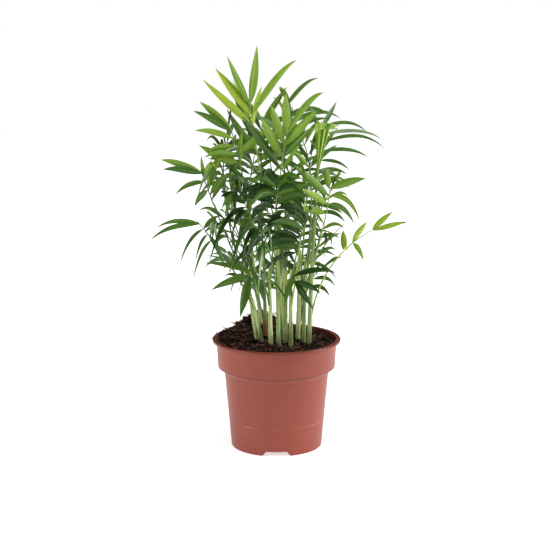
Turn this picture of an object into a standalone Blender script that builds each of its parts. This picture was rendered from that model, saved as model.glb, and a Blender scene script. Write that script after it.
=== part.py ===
"""A young parlour palm in a turned plastic pot: soil, clustered canes, an unopened spear and the fronds.

Metres, +Z up. The origin is on the ground under the middle of the pot. The viewer stands on the -Y side.
"""

import math
import random

import bmesh
import bpy
from mathutils import Matrix, Vector
from mathutils.bvhtree import BVHTree

MM = 0.001
UP = Vector((0, 0, 1))
VIEWER = Vector((0, -1, 0))
GAP = 0.3 * MM

# The pot: outer radii and heights, from the lip down to the foot.
POT_HEIGHT = 102.7 * MM
LIP_RADIUS = 60.0 * MM
LIP_THICKNESS = 2.6 * MM
LIP_EDGE = 0.6 * MM
COLLAR_TOP_RADIUS = 56.2 * MM
COLLAR_FOOT_RADIUS = 55.0 * MM
COLLAR_FOOT_HEIGHT = 78.5 * MM
SHOULDER_RADIUS = 49.3 * MM
SHOULDER_HEIGHT = 70.0 * MM
BODY_FOOT_RADIUS = 42.6 * MM
WALL = 1.2 * MM
FLOOR_BASE = 4.5 * MM
FLOOR_TOP = 6.0 * MM
FOOT_RING = 2.2 * MM
FOOT_EDGE = 0.6 * MM
POT_SIDES = 36
NOTCH_WIDTH = 23.0 * MM
NOTCH_HEIGHT = 4.2 * MM
NOTCH_COUNT = 3
DRAIN_RADIUS = 3.6 * MM
DRAIN_RING_RADIUS = 31.0 * MM
DRAIN_COUNT = 6

# The soil: level near the rim, and heaped behind the canes.
SOIL_LEVEL = 97.5 * MM
SOIL_HEAP = 14.0 * MM
SOIL_HEAP_PLACE = Vector((-18 * MM, 34 * MM, 0))
SOIL_HEAP_SPREAD = 26.0 * MM
SOIL_RINGS = 5
SOIL_SIDES = 20

# Each cane: where it leaves the soil (x, y) and where its top is (x, y, z), in millimetres.
CANES = (
    ((-18, -10), (-31, -8, 172)),
    ((-13, -21), (-25, -21, 152)),
    ((-10, -2), (-12, -3, 168)),
    ((-5, -29), (-7, -25, 178)),
    ((2, -28), (0, -24, 184)),
    ((4, -9), (1, -7, 196)),
    ((8, -16), (9, -15, 170)),
    ((13, -25), (13, -23, 172)),
    ((20, -2), (22, 0, 186)),
    ((25, -13), (27, -10, 178)),
    ((30, -18), (37, -14, 258)),
    ((-14, 12), (-24, 22, 182)),
    ((6, 14), (6, 26, 190)),
    ((20, 15), (32, 25, 178)),
)
CANE_FOOT_RADIUS = 2.6 * MM
CANE_TOP_RADIUS = 1.5 * MM
CANE_FLARE = 1.25
BARE_TOP = 4.0 * MM
CANE_SIDES = 7
CANE_RINGS = 4
SPEAR_CANE = 10
SPEAR_LENGTH = 46.0 * MM
SPEAR_LEAN = Vector((3 * MM, -2 * MM, 0))
SPEAR_RADII = (1.6 * MM, 3.2 * MM, 4.2 * MM, 3.6 * MM)

# Every frond is a thin blade: a petiole, and a rib with leaflets along both sides.
BLADE_THICKNESS = 1.0 * MM
PETIOLE_WIDTH = 2.6 * MM
RIB_WIDTH = 1.6 * MM
PETIOLE_STEPS = 3
LINE_MARKS = 40
LEAST_BARE = 8
PETIOLE_SPREAD = 0.25
MOST_SPREAD = 11.0 * MM
LEAF_WIDTH_SHARE = 0.115
LEAF_WIDEST_AT = 0.45
LEAF_VEE = math.radians(14)
LEAST_AGREEMENT = 0.3
ROOT_SHARE = 0.3
CLEARANCE = 0.35 * MM
RIB_SWINGS = (0, 4, -4, 8, -8, 12, -12, 17, -17, 23, -23, 30, -30)
RIB_LIFTS = (0, 5, -5, 10, -10)
FOOT_DROPS = (0, 5, 10, 16, 23, 31)
LEAF_TURNS = (0, 6, -6, 12, -12, 19, -19, 27)
LEAF_SAGS = (0, 0.14, -0.14, 0.28, -0.28)
LEAF_SHARES = (1.0, 0.85, 0.7, 0.5, 0.35, 0.2)

# The fronds that face the viewer: the cane, then the foot's height, the tip (x, y, z), the petiole's lift
# and the leafy rib's length in millimetres, the pairs of leaflets, the longest leaflet in millimetres, the
# angles of the first and last leaflets from the rib in degrees, how far a leaflet's end sags as a share of
# its length, and how far the blade turns from its own plane (0) to face the viewer (1).
FRONT_FRONDS = {
    "top": (5, 190, (-25, 0, 326), 56, 36, 4, 63, 47, 13, 0.02, 0.95),
    "bright": (3, 172, (10, -38, 302), 84, 42, 4, 56, 64, 24, 0.02, 0.9),
    "upper_right": (6, 166, (5, 10, 318), 90, 40, 5, 62, 62, 24, 0.34, 0.5),
    "right_arch": (9, 172, (42, 4, 303), 84, 46, 6, 68, 68, 20, 0.48, 0.65),
    "right_front": (10, 184, (48, -20, 249), 46, 30, 4, 44, 90, 18, 0.36, 0.85),
    "far_right": (10, 138, (93, -14, 210), 50, 42, 4, 34, 66, 11, 0.1, 0.7),
    "left": (0, 168, (-69, -8, 262), 60, 32, 4, 52, 46, 22, 0.26, 0.8),
    "upper_left": (2, 164, (-42, 0, 300), 90, 38, 5, 56, 62, 20, 0.1, 0.85),
    "left_arch": (0, 156, (-46, 8, 286), 90, 40, 5, 42, 78, 30, 0.46, 0.4),
    "low_left": (1, 148, (-72, -20, 216), 46, 24, 4, 62, 58, 14, 0.6, 0.6),
    "foot_left": (3, 150, (-26, -40, 167), 32, 17, 3, 46, 56, 24, 0.2, 0.9),
    "foot_right": (7, 158, (17, -46, 162), 22, 17, 3, 42, 50, 22, 0.16, 0.85),
    "middle_right": (7, 166, (28, -44, 222), 34, 40, 6, 46, 96, 24, 0.16, 0.75),
    "middle_left": (3, 164, (-34, -36, 246), 60, 38, 5, 46, 76, 24, 0.3, 0.5),
    "middle_low": (4, 160, (-16, -52, 214), 46, 32, 4, 48, 84, 26, 0.3, 0.6),
    "middle": (4, 178, (-10, -44, 258), 70, 36, 5, 48, 70, 20, 0.2, 0.6),
    "middle_high": (7, 148, (20, -38, 258), 70, 34, 4, 48, 74, 20, 0.24, 0.6),
}

# The other fronds stand in tiers round the back and sides: the height and reach of the tips in millimetres,
# how many there are, the bearings of the first and last in degrees from +X, and the sag of their leaflets.
BACK_TIERS = (
    (170, 46, 5, 22, 160, 0.3),
    (206, 58, 6, 10, 172, 0.36),
    (246, 56, 6, 20, 164, 0.34),
    (282, 44, 5, 30, 156, 0.24),
    (312, 22, 2, 60, 120, 0.08),
)
BACK_CENTRE = Vector((0, 3 * MM, 0))
BACK_RIB = 40.0 * MM
BACK_LEAF = 50.0 * MM
BACK_PAIRS = 4
BACK_ANGLES = (74, 20)
BACK_SEED = 41

COLOURS = {
    "pot": (0.35, 0.095, 0.065, 0.42),
    "soil": (0.022, 0.014, 0.009, 0.95),
    "cane": (0.33, 0.42, 0.14, 0.5),
    "spear": (0.30, 0.46, 0.05, 0.45),
    "frond": (0.075, 0.21, 0.03, 0.45),
}


def material(name):
    """The plain finish of one kind of piece."""
    red, green, blue, roughness = COLOURS[name]
    made = bpy.data.materials.get(name) or bpy.data.materials.new(name)
    made.use_nodes = True
    shader = made.node_tree.nodes["Principled BSDF"]
    shader.inputs["Base Color"].default_value = (red, green, blue, 1)
    shader.inputs["Roughness"].default_value = roughness
    shader.inputs["Metallic"].default_value = 0.0
    return made


def add_piece(name, points, faces, finish, smooth=False):
    """One named object from points and faces, which all face outward."""
    mesh = bpy.data.meshes.new(name)
    mesh.from_pydata([tuple(p) for p in points], [], faces)
    piece = bpy.data.objects.new(name, mesh)
    bpy.context.scene.collection.objects.link(piece)
    mesh.materials.append(material(finish))
    if smooth:
        mesh.shade_smooth()
        mesh.set_sharp_from_angle(angle=math.radians(35))
    return piece


def surface_of(piece):
    """The points and faces of a piece."""
    return [v.co.copy() for v in piece.data.vertices], [tuple(p.vertices) for p in piece.data.polygons]


def turned(profile, sides):
    """Points and faces of a closed profile of (radius, height) turned about Z; radius 0 gives one point."""
    points = []
    rings = []
    for radius, height in profile:
        if radius == 0:
            rings.append([len(points)] * sides)
            points.append(Vector((0, 0, height)))
            continue
        rings.append([len(points) + i for i in range(sides)])
        for i in range(sides):
            angle = 2 * math.pi * i / sides
            points.append(Vector((radius * math.cos(angle), radius * math.sin(angle), height)))
    faces = []
    for lower, upper in zip(rings, rings[1:]):
        for i in range(sides):
            j = (i + 1) % sides
            corners = (lower[i], lower[j], upper[j], upper[i])
            faces.append(tuple(dict.fromkeys(corners)))
    return points, faces


def wall_radius(height):
    """Inner radius of the pot at a height."""
    if height >= COLLAR_FOOT_HEIGHT:
        share = (height - COLLAR_FOOT_HEIGHT) / (POT_HEIGHT - COLLAR_FOOT_HEIGHT)
        return COLLAR_FOOT_RADIUS + share * (COLLAR_TOP_RADIUS - COLLAR_FOOT_RADIUS) - WALL
    if height >= SHOULDER_HEIGHT:
        share = (height - SHOULDER_HEIGHT) / (COLLAR_FOOT_HEIGHT - SHOULDER_HEIGHT)
        return SHOULDER_RADIUS + share * (COLLAR_FOOT_RADIUS - SHOULDER_RADIUS) - WALL
    share = height / SHOULDER_HEIGHT
    return BODY_FOOT_RADIUS + share * (SHOULDER_RADIUS - BODY_FOOT_RADIUS) - WALL


def make_pot():
    """The turned pot, with notches under its foot ring and drain holes in its floor."""
    lip_base = POT_HEIGHT - LIP_THICKNESS
    shoulder_bulge = (COLLAR_FOOT_HEIGHT - SHOULDER_HEIGHT) / 2
    outer = [
        (BODY_FOOT_RADIUS - FOOT_RING, 0),
        (BODY_FOOT_RADIUS - FOOT_EDGE, 0),
        (BODY_FOOT_RADIUS, 2 * FOOT_EDGE),
        (SHOULDER_RADIUS, SHOULDER_HEIGHT - WALL),
        (SHOULDER_RADIUS + WALL, SHOULDER_HEIGHT),
        (COLLAR_FOOT_RADIUS - WALL, SHOULDER_HEIGHT + shoulder_bulge),
        (COLLAR_FOOT_RADIUS, COLLAR_FOOT_HEIGHT),
        (COLLAR_TOP_RADIUS, lip_base),
        (LIP_RADIUS - LIP_EDGE, lip_base),
        (LIP_RADIUS, lip_base + LIP_EDGE),
        (LIP_RADIUS, POT_HEIGHT - LIP_EDGE),
        (LIP_RADIUS - LIP_EDGE, POT_HEIGHT),
        (COLLAR_TOP_RADIUS + LIP_EDGE, POT_HEIGHT),
        (wall_radius(lip_base), lip_base),
        (wall_radius(COLLAR_FOOT_HEIGHT), COLLAR_FOOT_HEIGHT),
        (wall_radius(SHOULDER_HEIGHT), SHOULDER_HEIGHT),
        (wall_radius(FLOOR_TOP), FLOOR_TOP),
        (0, FLOOR_TOP),
    ]
    under = [
        (BODY_FOOT_RADIUS - FOOT_RING, 0),
        (BODY_FOOT_RADIUS - FOOT_RING, FLOOR_BASE),
        (0, FLOOR_BASE),
    ]
    points, faces = turned(list(reversed(under)) + outer[1:], POT_SIDES)
    pot = add_piece("pot", points, faces, "pot", smooth=True)

    cutters = bmesh.new()
    for i in range(NOTCH_COUNT):
        bearing = -math.pi / 2 + 2 * math.pi * i / NOTCH_COUNT
        size = Matrix.Diagonal((4 * FOOT_RING, NOTCH_WIDTH, 2 * NOTCH_HEIGHT, 1))
        place = Matrix.Rotation(bearing, 4, "Z") @ Matrix.Translation((BODY_FOOT_RADIUS, 0, 0))
        bmesh.ops.create_cube(cutters, size=1, matrix=place @ size)
    for i in range(DRAIN_COUNT):
        bearing = 2 * math.pi * (i + 0.5) / DRAIN_COUNT
        place = Matrix.Rotation(bearing, 4, "Z") @ Matrix.Translation((DRAIN_RING_RADIUS, 0, FLOOR_TOP))
        bmesh.ops.create_cone(
            cutters,
            cap_ends=True,
            segments=10,
            radius1=DRAIN_RADIUS,
            radius2=DRAIN_RADIUS,
            depth=2 * FLOOR_TOP - FLOOR_BASE,
            matrix=place,
        )
    mesh = bpy.data.meshes.new("pot_cutter")
    cutters.to_mesh(mesh)
    cutters.free()
    cutter = bpy.data.objects.new("pot_cutter", mesh)
    bpy.context.scene.collection.objects.link(cutter)
    cutter.hide_render = True
    cutter.display_type = "WIRE"
    cut = pot.modifiers.new("notches_and_drains", "BOOLEAN")
    cut.operation = "DIFFERENCE"
    cut.solver = "EXACT"
    cut.object = cutter
    return pot


def soil_height(x, y):
    """Height of the soil's surface: level in front, heaped behind the canes, with low ripples."""
    away = (Vector((x, y, 0)) - SOIL_HEAP_PLACE).length / SOIL_HEAP_SPREAD
    rim = max(0.0, 1 - (math.hypot(x, y) / wall_radius(SOIL_LEVEL)) ** 6)
    ripple = 0.6 * MM * math.sin(x / (7 * MM)) * math.cos(y / (9 * MM))
    return SOIL_LEVEL + (SOIL_HEAP * math.exp(-away * away) + ripple) * rim


def make_soil():
    """The soil: it fills the pot, and its top follows soil_height."""
    profile = [
        (0, FLOOR_TOP + GAP),
        (wall_radius(FLOOR_TOP) - 2 * GAP, FLOOR_TOP + GAP),
        (wall_radius(SHOULDER_HEIGHT) - 2 * GAP, SHOULDER_HEIGHT),
        (wall_radius(COLLAR_FOOT_HEIGHT) - 2 * GAP, COLLAR_FOOT_HEIGHT),
        (wall_radius(SOIL_LEVEL) - 2 * GAP, SOIL_LEVEL),
    ]
    rim = wall_radius(SOIL_LEVEL) - 2 * GAP
    for i in range(SOIL_RINGS - 1, -1, -1):
        profile.append((rim * i / SOIL_RINGS, SOIL_LEVEL + POT_HEIGHT))
    points, faces = turned(profile, SOIL_SIDES)
    for point in points:
        if point.z > POT_HEIGHT:
            point.z = soil_height(point.x, point.y)
    return add_piece("soil", points, faces, "soil")


def highest_under(x, y, radius, ground):
    """The highest place of the soil's surface under a level disc."""
    heights = []
    for i in range(12):
        angle = 2 * math.pi * i / 12
        above = Vector((x + radius * math.cos(angle), y + radius * math.sin(angle), 2 * POT_HEIGHT))
        heights.append(ground.ray_cast(above, -UP)[0].z)
    return max(heights)


class Cane:
    """One cane: a slightly bowed, tapering line from the soil to its top."""

    def __init__(self, foot, top, ground):
        x, y = (value * MM for value in foot)
        self.foot = Vector((x, y, highest_under(x, y, CANE_FLARE * CANE_FOOT_RADIUS, ground) + GAP))
        self.top = Vector(top) * MM
        self.bow = Vector((self.foot.x, self.foot.y, self.top.z / 2 + self.foot.z / 2))
        self.bow += (self.top - self.foot) * 0.3 - UP * (self.top.z - self.foot.z) * 0.3

    def at(self, share):
        return (
            self.foot * (1 - share) ** 2
            + self.bow * 2 * share * (1 - share)
            + self.top * share**2
        )

    def radius(self, share):
        flare = CANE_FLARE if share == 0 else 1
        return flare * (CANE_FOOT_RADIUS + share * (CANE_TOP_RADIUS - CANE_FOOT_RADIUS))

    def share_at(self, height):
        """How far along the cane a height is."""
        low = 0.0
        high = 1.0
        for _ in range(30):
            middle = (low + high) / 2
            if self.at(middle).z < height:
                low = middle
            else:
                high = middle
        return low


def tube(centres, radii, sides, flat=1.0):
    """Points and faces of a closed tube of level rings; flat squeezes it along Y."""
    points = []
    for centre, radius in zip(centres, radii):
        for i in range(sides):
            angle = 2 * math.pi * i / sides
            points.append(centre + Vector((math.cos(angle), flat * math.sin(angle), 0)) * radius)
    faces = [tuple(range(sides - 1, -1, -1))]
    for ring in range(len(centres) - 1):
        for i in range(sides):
            j = (i + 1) % sides
            low = ring * sides
            faces.append((low + i, low + j, low + sides + j, low + sides + i))
    faces.append(tuple(range((len(centres) - 1) * sides, len(centres) * sides)))
    return points, faces


def make_cane(number, cane):
    shares = [i / CANE_RINGS for i in range(CANE_RINGS + 1)]
    shares.insert(1, 0.3 / CANE_RINGS)
    points, faces = tube([cane.at(s) for s in shares], [cane.radius(s) for s in shares], CANE_SIDES)
    add_piece(f"cane_{number + 1:02d}", points, faces, "cane", smooth=True)
    return points, faces


def make_spear(cane):
    """The unopened leaf: a rolled, slightly flattened blade on the top of its cane."""
    start = cane.top + UP * GAP
    steps = len(SPEAR_RADII) - 1
    centres = [start + (SPEAR_LEAN + UP * SPEAR_LENGTH) * i / steps for i in range(steps + 1)]
    points, faces = tube(centres, SPEAR_RADII, CANE_SIDES, flat=0.7)
    add_piece("spear", points, faces, "spear", smooth=True)
    return points, faces


class Crowd:
    """What is already in place, for finding whether a new blade would touch it."""

    def __init__(self):
        self.points = []
        self.faces = []
        self.owners = []
        self.tree = None

    def add(self, points, faces, owner):
        first = len(self.points)
        self.points.extend(points)
        self.faces.extend(tuple(first + i for i in face) for face in faces)
        self.owners.extend([owner] * len(faces))
        self.tree = None

    def touches(self, points, faces, but=""):
        """Whether this shape meets anything in place, but for what one owner has there."""
        if self.tree is None:
            self.tree = BVHTree.FromPolygons(self.points, self.faces)
        met = self.tree.overlap(BVHTree.FromPolygons(points, faces))
        return any(self.owners[there] != but for there, _ in met)


class Frond:
    """The line of one frond: a petiole that leaves its cane upward, and a rib that carries the leaflets."""

    def __init__(self, cane, foot_height, tip, lift, rib_length, pairs, leaf, angles, sag, facing=0.0):
        self.cane = cane
        self.foot_height = foot_height
        self.lift = lift
        self.rib_length = rib_length
        self.pairs = pairs
        self.leaf = leaf
        self.angles = angles
        self.sag = sag
        self.facing = facing
        self.aim(tip)

    def aim(self, tip):
        """Lays the line from the cane to the tip."""
        share = self.cane.share_at(self.foot_height)
        axis = self.cane.at(share)
        out = Vector((tip.x - axis.x, tip.y - axis.y, 0))
        self.out = out.normalized()
        stand_off = self.cane.radius(share) + GAP + BLADE_THICKNESS / 2
        self.foot = axis + self.out * stand_off
        growth = (self.cane.at(share + 0.01) - self.cane.at(share - 0.01)).normalized()
        spread = min(PETIOLE_SPREAD * self.lift, MOST_SPREAD)
        self.bend = self.foot + growth * self.lift + self.out * spread
        self.tip = tip
        self.level_side = Vector((-self.out.y, self.out.x, 0))
        lengths = [0.0]
        marks = [self.at(i / LINE_MARKS) for i in range(LINE_MARKS + 1)]
        for a, b in zip(marks, marks[1:]):
            lengths.append(lengths[-1] + (b - a).length)
        leafy = lengths[-1] - self.rib_length
        bare = sum(1 for length in lengths if length <= leafy) - 1
        self.leafy_from = max(bare, LEAST_BARE) / LINE_MARKS

    def at(self, share):
        return (
            self.foot * (1 - share) ** 2
            + self.bend * 2 * share * (1 - share)
            + self.tip * share**2
        )

    def along(self, share):
        direction = (self.bend - self.foot) * (1 - share) + (self.tip - self.bend) * share
        return direction.normalized()

    def upper(self, share):
        """The normal of the blade's upper face, turned to the viewer along the petiole."""
        along = self.along(share)
        own = along.cross(self.level_side)
        to_viewer = VIEWER - along * VIEWER.dot(along)
        turned_by = self.facing * min(1.0, share / self.leafy_from)
        return (own * (1 - turned_by) + to_viewer.normalized() * turned_by).normalized()

    def side(self, share):
        """The direction across the blade, to the left of someone looking out along it."""
        return self.upper(share).cross(self.along(share))

    def stations(self):
        """Shares along the line: the petiole's steps, then one for each pair of leaflets and the tip."""
        bare = [self.leafy_from * i / PETIOLE_STEPS for i in range(PETIOLE_STEPS)]
        step = (1 - self.leafy_from) / self.pairs
        return bare + [self.leafy_from + step * i for i in range(self.pairs + 1)]

    def half_width(self, share):
        return (PETIOLE_WIDTH + share * (RIB_WIDTH - PETIOLE_WIDTH)) / 2


class Leaflet:
    """One leaflet: a kite with a bend at its widest place, on one step of the rib."""

    def __init__(self, frond, index, hand, turn=0.0, more_sag=0.0, share=1.0):
        step = (1 - frond.leafy_from) / frond.pairs
        place = frond.leafy_from + step * (index + 0.5)
        reach = (index + 0.5) / frond.pairs
        first, last = frond.angles
        angle = math.radians(first + (last - first) * reach + turn)
        self.hand = hand
        self.along = frond.along(place)
        self.normal = frond.upper(place)
        side = frond.side(place) * hand
        outward = side * math.cos(LEAF_VEE) + self.normal * math.sin(LEAF_VEE)
        self.direction = self.along * math.cos(angle) + outward * math.sin(angle)
        self.origin = frond.at(place) + side * frond.half_width(place)
        self.length = frond.leaf * share * (0.78 + 0.88 * reach * (1 - reach))
        self.width = frond.leaf * LEAF_WIDTH_SHARE
        self.sag = frond.sag + more_sag

    def at(self, share):
        sunk = UP * (self.sag * self.length * share * share)
        return self.origin + self.direction * (self.length * share) - sunk

    def across(self, share):
        heading = (self.at(share + 0.01) - self.at(share)).normalized()
        return (self.along - heading * self.along.dot(heading)).normalized(), heading

    def outline(self, spare=0.0):
        """The near shoulder, the far shoulder and the tip, each with its normal."""
        across, heading = self.across(LEAF_WIDEST_AT)
        middle = self.at(LEAF_WIDEST_AT)
        half = across * (self.width / 2 + spare)
        normal = heading.cross(across) * -self.hand
        end_across, end_heading = self.across(1.0)
        end_normal = end_heading.cross(end_across) * -self.hand
        return [
            (middle - half, normal),
            (middle + half, normal),
            (self.at(1.0) + end_heading * spare, end_normal),
        ]


def shell(points, normals, faces, thickness):
    """A closed thin body from an open surface: both faces and the walls along its rim."""
    count = len(points)
    half = thickness / 2
    body = [p + n * half for p, n in zip(points, normals)]
    body += [p - n * half for p, n in zip(points, normals)]
    closed = list(faces)
    closed += [tuple(count + i for i in face[::-1]) for face in faces]
    edges = {(face[i - 1], face[i]) for face in faces for i in range(len(face))}
    for a, b in sorted(edges):
        if (b, a) not in edges:
            closed.append((b, a, count + a, count + b))
    return body, closed


def rib_surface(frond):
    """The strip of the petiole and rib: its points, normals and faces, left and right by turns."""
    points = []
    normals = []
    for share in frond.stations():
        half = frond.side(share) * frond.half_width(share)
        centre = frond.at(share)
        points += [centre + half, centre - half]
        normals += [frond.upper(share)] * 2
    steps = len(points) // 2 - 1
    faces = [(2 * i, 2 * i + 1, 2 * i + 3, 2 * i + 2) for i in range(steps)]
    return points, normals, faces


def fits(frond, crowd):
    """Whether the frond's strip is clear of everything in place."""
    points, normals, faces = rib_surface(frond)
    if crowd.touches(*shell(points, normals, faces, BLADE_THICKNESS)):
        return False
    wide = []
    for share, left, right in zip(frond.stations(), points[::2], points[1::2]):
        spare = frond.side(share) * CLEARANCE
        wide += [left + spare, right - spare]
    thick = BLADE_THICKNESS + 2 * CLEARANCE
    return not crowd.touches(*shell(wide[2:], normals[2:], [tuple(f) for f in faces[:-1]], thick))


def settle_frond(frond, crowd, canes):
    """Swings or lifts the frond, lowers its foot or moves it to the next cane, until its rib passes clear."""
    aimed = frond.tip
    foot_height = frond.foot_height
    first = frond.cane
    for cane in sorted(canes, key=lambda other: (other.top - first.top).length):
        frond.cane = cane
        for drop in FOOT_DROPS:
            frond.foot_height = min(foot_height, cane.top.z - BARE_TOP) - drop * MM
            axis = cane.at(cane.share_at(frond.foot_height))
            for lift in RIB_LIFTS:
                for swing in RIB_SWINGS:
                    swung = Matrix.Rotation(math.radians(swing), 3, "Z") @ (aimed - axis) + axis
                    frond.aim(swung + UP * (lift * MM))
                    if fits(frond, crowd):
                        return
    raise ValueError(f"no clear place for a frond that ends at {aimed}")


def lies_flat(points, normals, faces, hand):
    """Whether each face looks the way its corners' normals do, so that the blade never turns inside out."""
    for face in faces:
        for second, third in zip(face[1:], face[2:]):
            a, b, c = (points[i] for i in (face[0], second, third))
            looks = (b - a).cross(c - a).normalized() * hand
            if min(looks.dot(normals[i]) for i in (face[0], second, third)) < LEAST_AGREEMENT:
                return False
    return True


def settle_leaflet(name, frond, index, hand, crowd, own):
    """The clear leaflet nearest its own place: turned, raised, lowered or, at last, cut shorter."""
    step = (1 - frond.leafy_from) / frond.pairs
    corners = []
    for i in (0, 1):
        share = frond.leafy_from + step * (index + i)
        corners.append(frond.at(share) + frond.side(share) * hand * frond.half_width(share))
    normal = frond.upper(frond.leafy_from + step * (index + 0.5))
    moves = sorted(
        ((turn, sag) for turn in LEAF_TURNS for sag in LEAF_SAGS),
        key=lambda move: abs(move[0]) / 10 + abs(move[1]) * 6,
    )
    faces = [(0, 1, 3, 2), (2, 3, 4)]
    for share in LEAF_SHARES:
        for turn, sag in moves:
            leaflet = Leaflet(frond, index, hand, turn, sag, share)
            near, far, tip = leaflet.outline(CLEARANCE)
            points = [corners[0], corners[1], near[0], far[0], tip[0]]
            normals = [normal, normal, near[1], far[1], tip[1]]
            if not lies_flat(points, normals, faces, hand):
                continue
            body, closed = shell(points, normals, faces, BLADE_THICKNESS + 2 * CLEARANCE)
            if crowd.touches(body, closed, but=name):
                continue
            points[0] = corners[0].lerp(near[0], ROOT_SHARE)
            points[1] = corners[1].lerp(far[0], ROOT_SHARE)
            body, closed = shell(points, normals, faces, BLADE_THICKNESS + CLEARANCE)
            if not own.touches(body, closed):
                own.add(body, closed, name)
                return leaflet
    return None


def make_frond(name, frond, crowd):
    """One frond as one thin blade in its own outline."""
    points, normals, faces = rib_surface(frond)
    own = Crowd()
    own.add(*shell(points, normals, faces, BLADE_THICKNESS), name)
    for index in range(frond.pairs):
        for hand in (1, -1):
            leaflet = settle_leaflet(name, frond, index, hand, crowd, own)
            if leaflet is None:
                continue
            near = 2 * (PETIOLE_STEPS + index) + (0 if hand == 1 else 1)
            first = len(points)
            for point, normal in leaflet.outline():
                points.append(point)
                normals.append(normal)
            root, kite = (near, near + 2, first + 1, first), (first, first + 1, first + 2)
            faces += [root, kite] if hand == 1 else [root[::-1], kite[::-1]]
    body, closed = shell(points, normals, faces, BLADE_THICKNESS)
    add_piece(name, body, closed, "frond")
    crowd.add(body, closed, name)


def front_fronds(canes):
    for name, row in FRONT_FRONDS.items():
        cane, height, tip, lift, rib, pairs, leaf, first, last, sag, facing = row
        yield name, Frond(
            cane=canes[cane],
            foot_height=height * MM,
            tip=Vector(tip) * MM,
            lift=lift * MM,
            rib_length=rib * MM,
            pairs=pairs,
            leaf=leaf * MM,
            angles=(first, last),
            sag=sag,
            facing=facing,
        )


def back_fronds(canes):
    """The tiers behind: each frond leaves the cane nearest to its side of the crown."""
    draw = random.Random(BACK_SEED)
    number = 0
    for height, reach, count, first, last, sag in BACK_TIERS:
        for i in range(count):
            bearing = math.radians(first + (last - first) * i / (count - 1) + draw.uniform(-6, 6))
            far = reach * MM * draw.uniform(0.88, 1.12)
            tip = BACK_CENTRE + Vector((math.cos(bearing), math.sin(bearing), 0)) * far
            tip.z = height * MM + draw.uniform(-9, 9) * MM
            wanted = BACK_CENTRE + (tip - BACK_CENTRE) * 0.45
            cane = min(canes, key=lambda c: (Vector((c.top.x, c.top.y, wanted.z)) - wanted).length)
            top = min(cane.top.z - BARE_TOP, tip.z - 36 * MM)
            foot_height = max(cane.foot.z + 26 * MM, top - 34 * MM * draw.random())
            rise = tip.z - foot_height
            lift = max(0.75 * rise, 26 * MM) * draw.uniform(0.9, 1.1)
            leaf = BACK_LEAF * draw.uniform(0.88, 1.12)
            number += 1
            yield f"back_{number:02d}", Frond(
                cane, foot_height, tip, lift, BACK_RIB, BACK_PAIRS, leaf, BACK_ANGLES, sag
            )


def build():
    for old in list(bpy.data.objects):
        bpy.data.objects.remove(old)
    pot = make_pot()
    soil = make_soil()
    ground = BVHTree.FromPolygons(*surface_of(soil))
    crowd = Crowd()
    crowd.add(*surface_of(pot), "pot")
    canes = [Cane(foot, top, ground) for foot, top in CANES]
    for number, cane in enumerate(canes):
        crowd.add(*make_cane(number, cane), "cane")
    crowd.add(*make_spear(canes[SPEAR_CANE]), "spear")
    fronds = {f"frond_{name}": frond for name, frond in [*front_fronds(canes), *back_fronds(canes)]}
    for name, frond in fronds.items():
        settle_frond(frond, crowd, canes)
        crowd.add(*shell(*rib_surface(frond), BLADE_THICKNESS), name)
    for name, frond in fronds.items():
        make_frond(name, frond, crowd)


build()
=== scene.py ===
import math
import random
from dataclasses import dataclass

import bmesh
import bpy
from mathutils import Matrix, Quaternion, Vector, noise
from mathutils.bvhtree import BVHTree
from mathutils.kdtree import KDTree


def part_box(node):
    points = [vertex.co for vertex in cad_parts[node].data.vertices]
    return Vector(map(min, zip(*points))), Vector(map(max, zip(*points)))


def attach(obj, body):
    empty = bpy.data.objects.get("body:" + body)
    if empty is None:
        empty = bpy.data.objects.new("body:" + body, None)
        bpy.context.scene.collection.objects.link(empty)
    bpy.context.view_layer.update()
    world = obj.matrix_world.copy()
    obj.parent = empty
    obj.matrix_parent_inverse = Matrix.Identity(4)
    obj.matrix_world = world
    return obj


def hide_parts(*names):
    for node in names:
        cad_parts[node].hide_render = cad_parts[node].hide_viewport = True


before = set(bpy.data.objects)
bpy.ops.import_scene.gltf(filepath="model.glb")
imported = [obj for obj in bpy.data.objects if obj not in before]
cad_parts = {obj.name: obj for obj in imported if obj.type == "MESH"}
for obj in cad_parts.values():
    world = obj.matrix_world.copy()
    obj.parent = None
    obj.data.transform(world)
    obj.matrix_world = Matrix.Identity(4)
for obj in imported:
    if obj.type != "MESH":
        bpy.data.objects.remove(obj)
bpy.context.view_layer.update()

# The pot is one thin-walled moulding in terracotta-coloured plastic: a rounded lip, a tall collar with
# a ledge under it, and a body that narrows to a foot ring. It stands on that ring, which has three notches,
# and the floor above it has six drain holes.
MM = 0.001
UP = Vector((0, 0, 1))
pot_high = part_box("pot")[1]
POT_HEIGHT = pot_high.z
LIP_RADIUS = pot_high.x
LIP_DEPTH = 2.6 * MM
COLLAR_TOP_RADIUS = 56.2 * MM
COLLAR_FOOT_RADIUS = 55.0 * MM
COLLAR_FOOT_HEIGHT = 78.5 * MM
SHOULDER_RADIUS = 49.3 * MM
SHOULDER_HEIGHT = 70.0 * MM
COLLAR_UNDER = 75.8 * MM
FOOT_RADIUS = 42.6 * MM
FOOT_RING = 2.2 * MM
WALL = 1.2 * MM
FLOOR_UNDER = 4.5 * MM
FLOOR_TOP = 6.0 * MM
POT_SIDES = 192
POT_STEP = 3.0 * MM
NOTCH_HEIGHT = 4.2 * MM
NOTCH_HALF = 11.5 * MM
NOTCH_SLOPE = 4.5 * MM
NOTCH_BEARINGS = (-90, 30, 150)
NOTCH_FADE = 9.0 * MM
DRAIN_COUNT = 6
DRAIN_RADIUS = 3.6 * MM
DRAIN_RING = 31.0 * MM
WEAR_HEIGHT = 26.5 * MM
WEAR_WIDTH = 0.55 * MM
ON_AXIS = 0.1 * MM
POT_CREASE = 38


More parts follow.
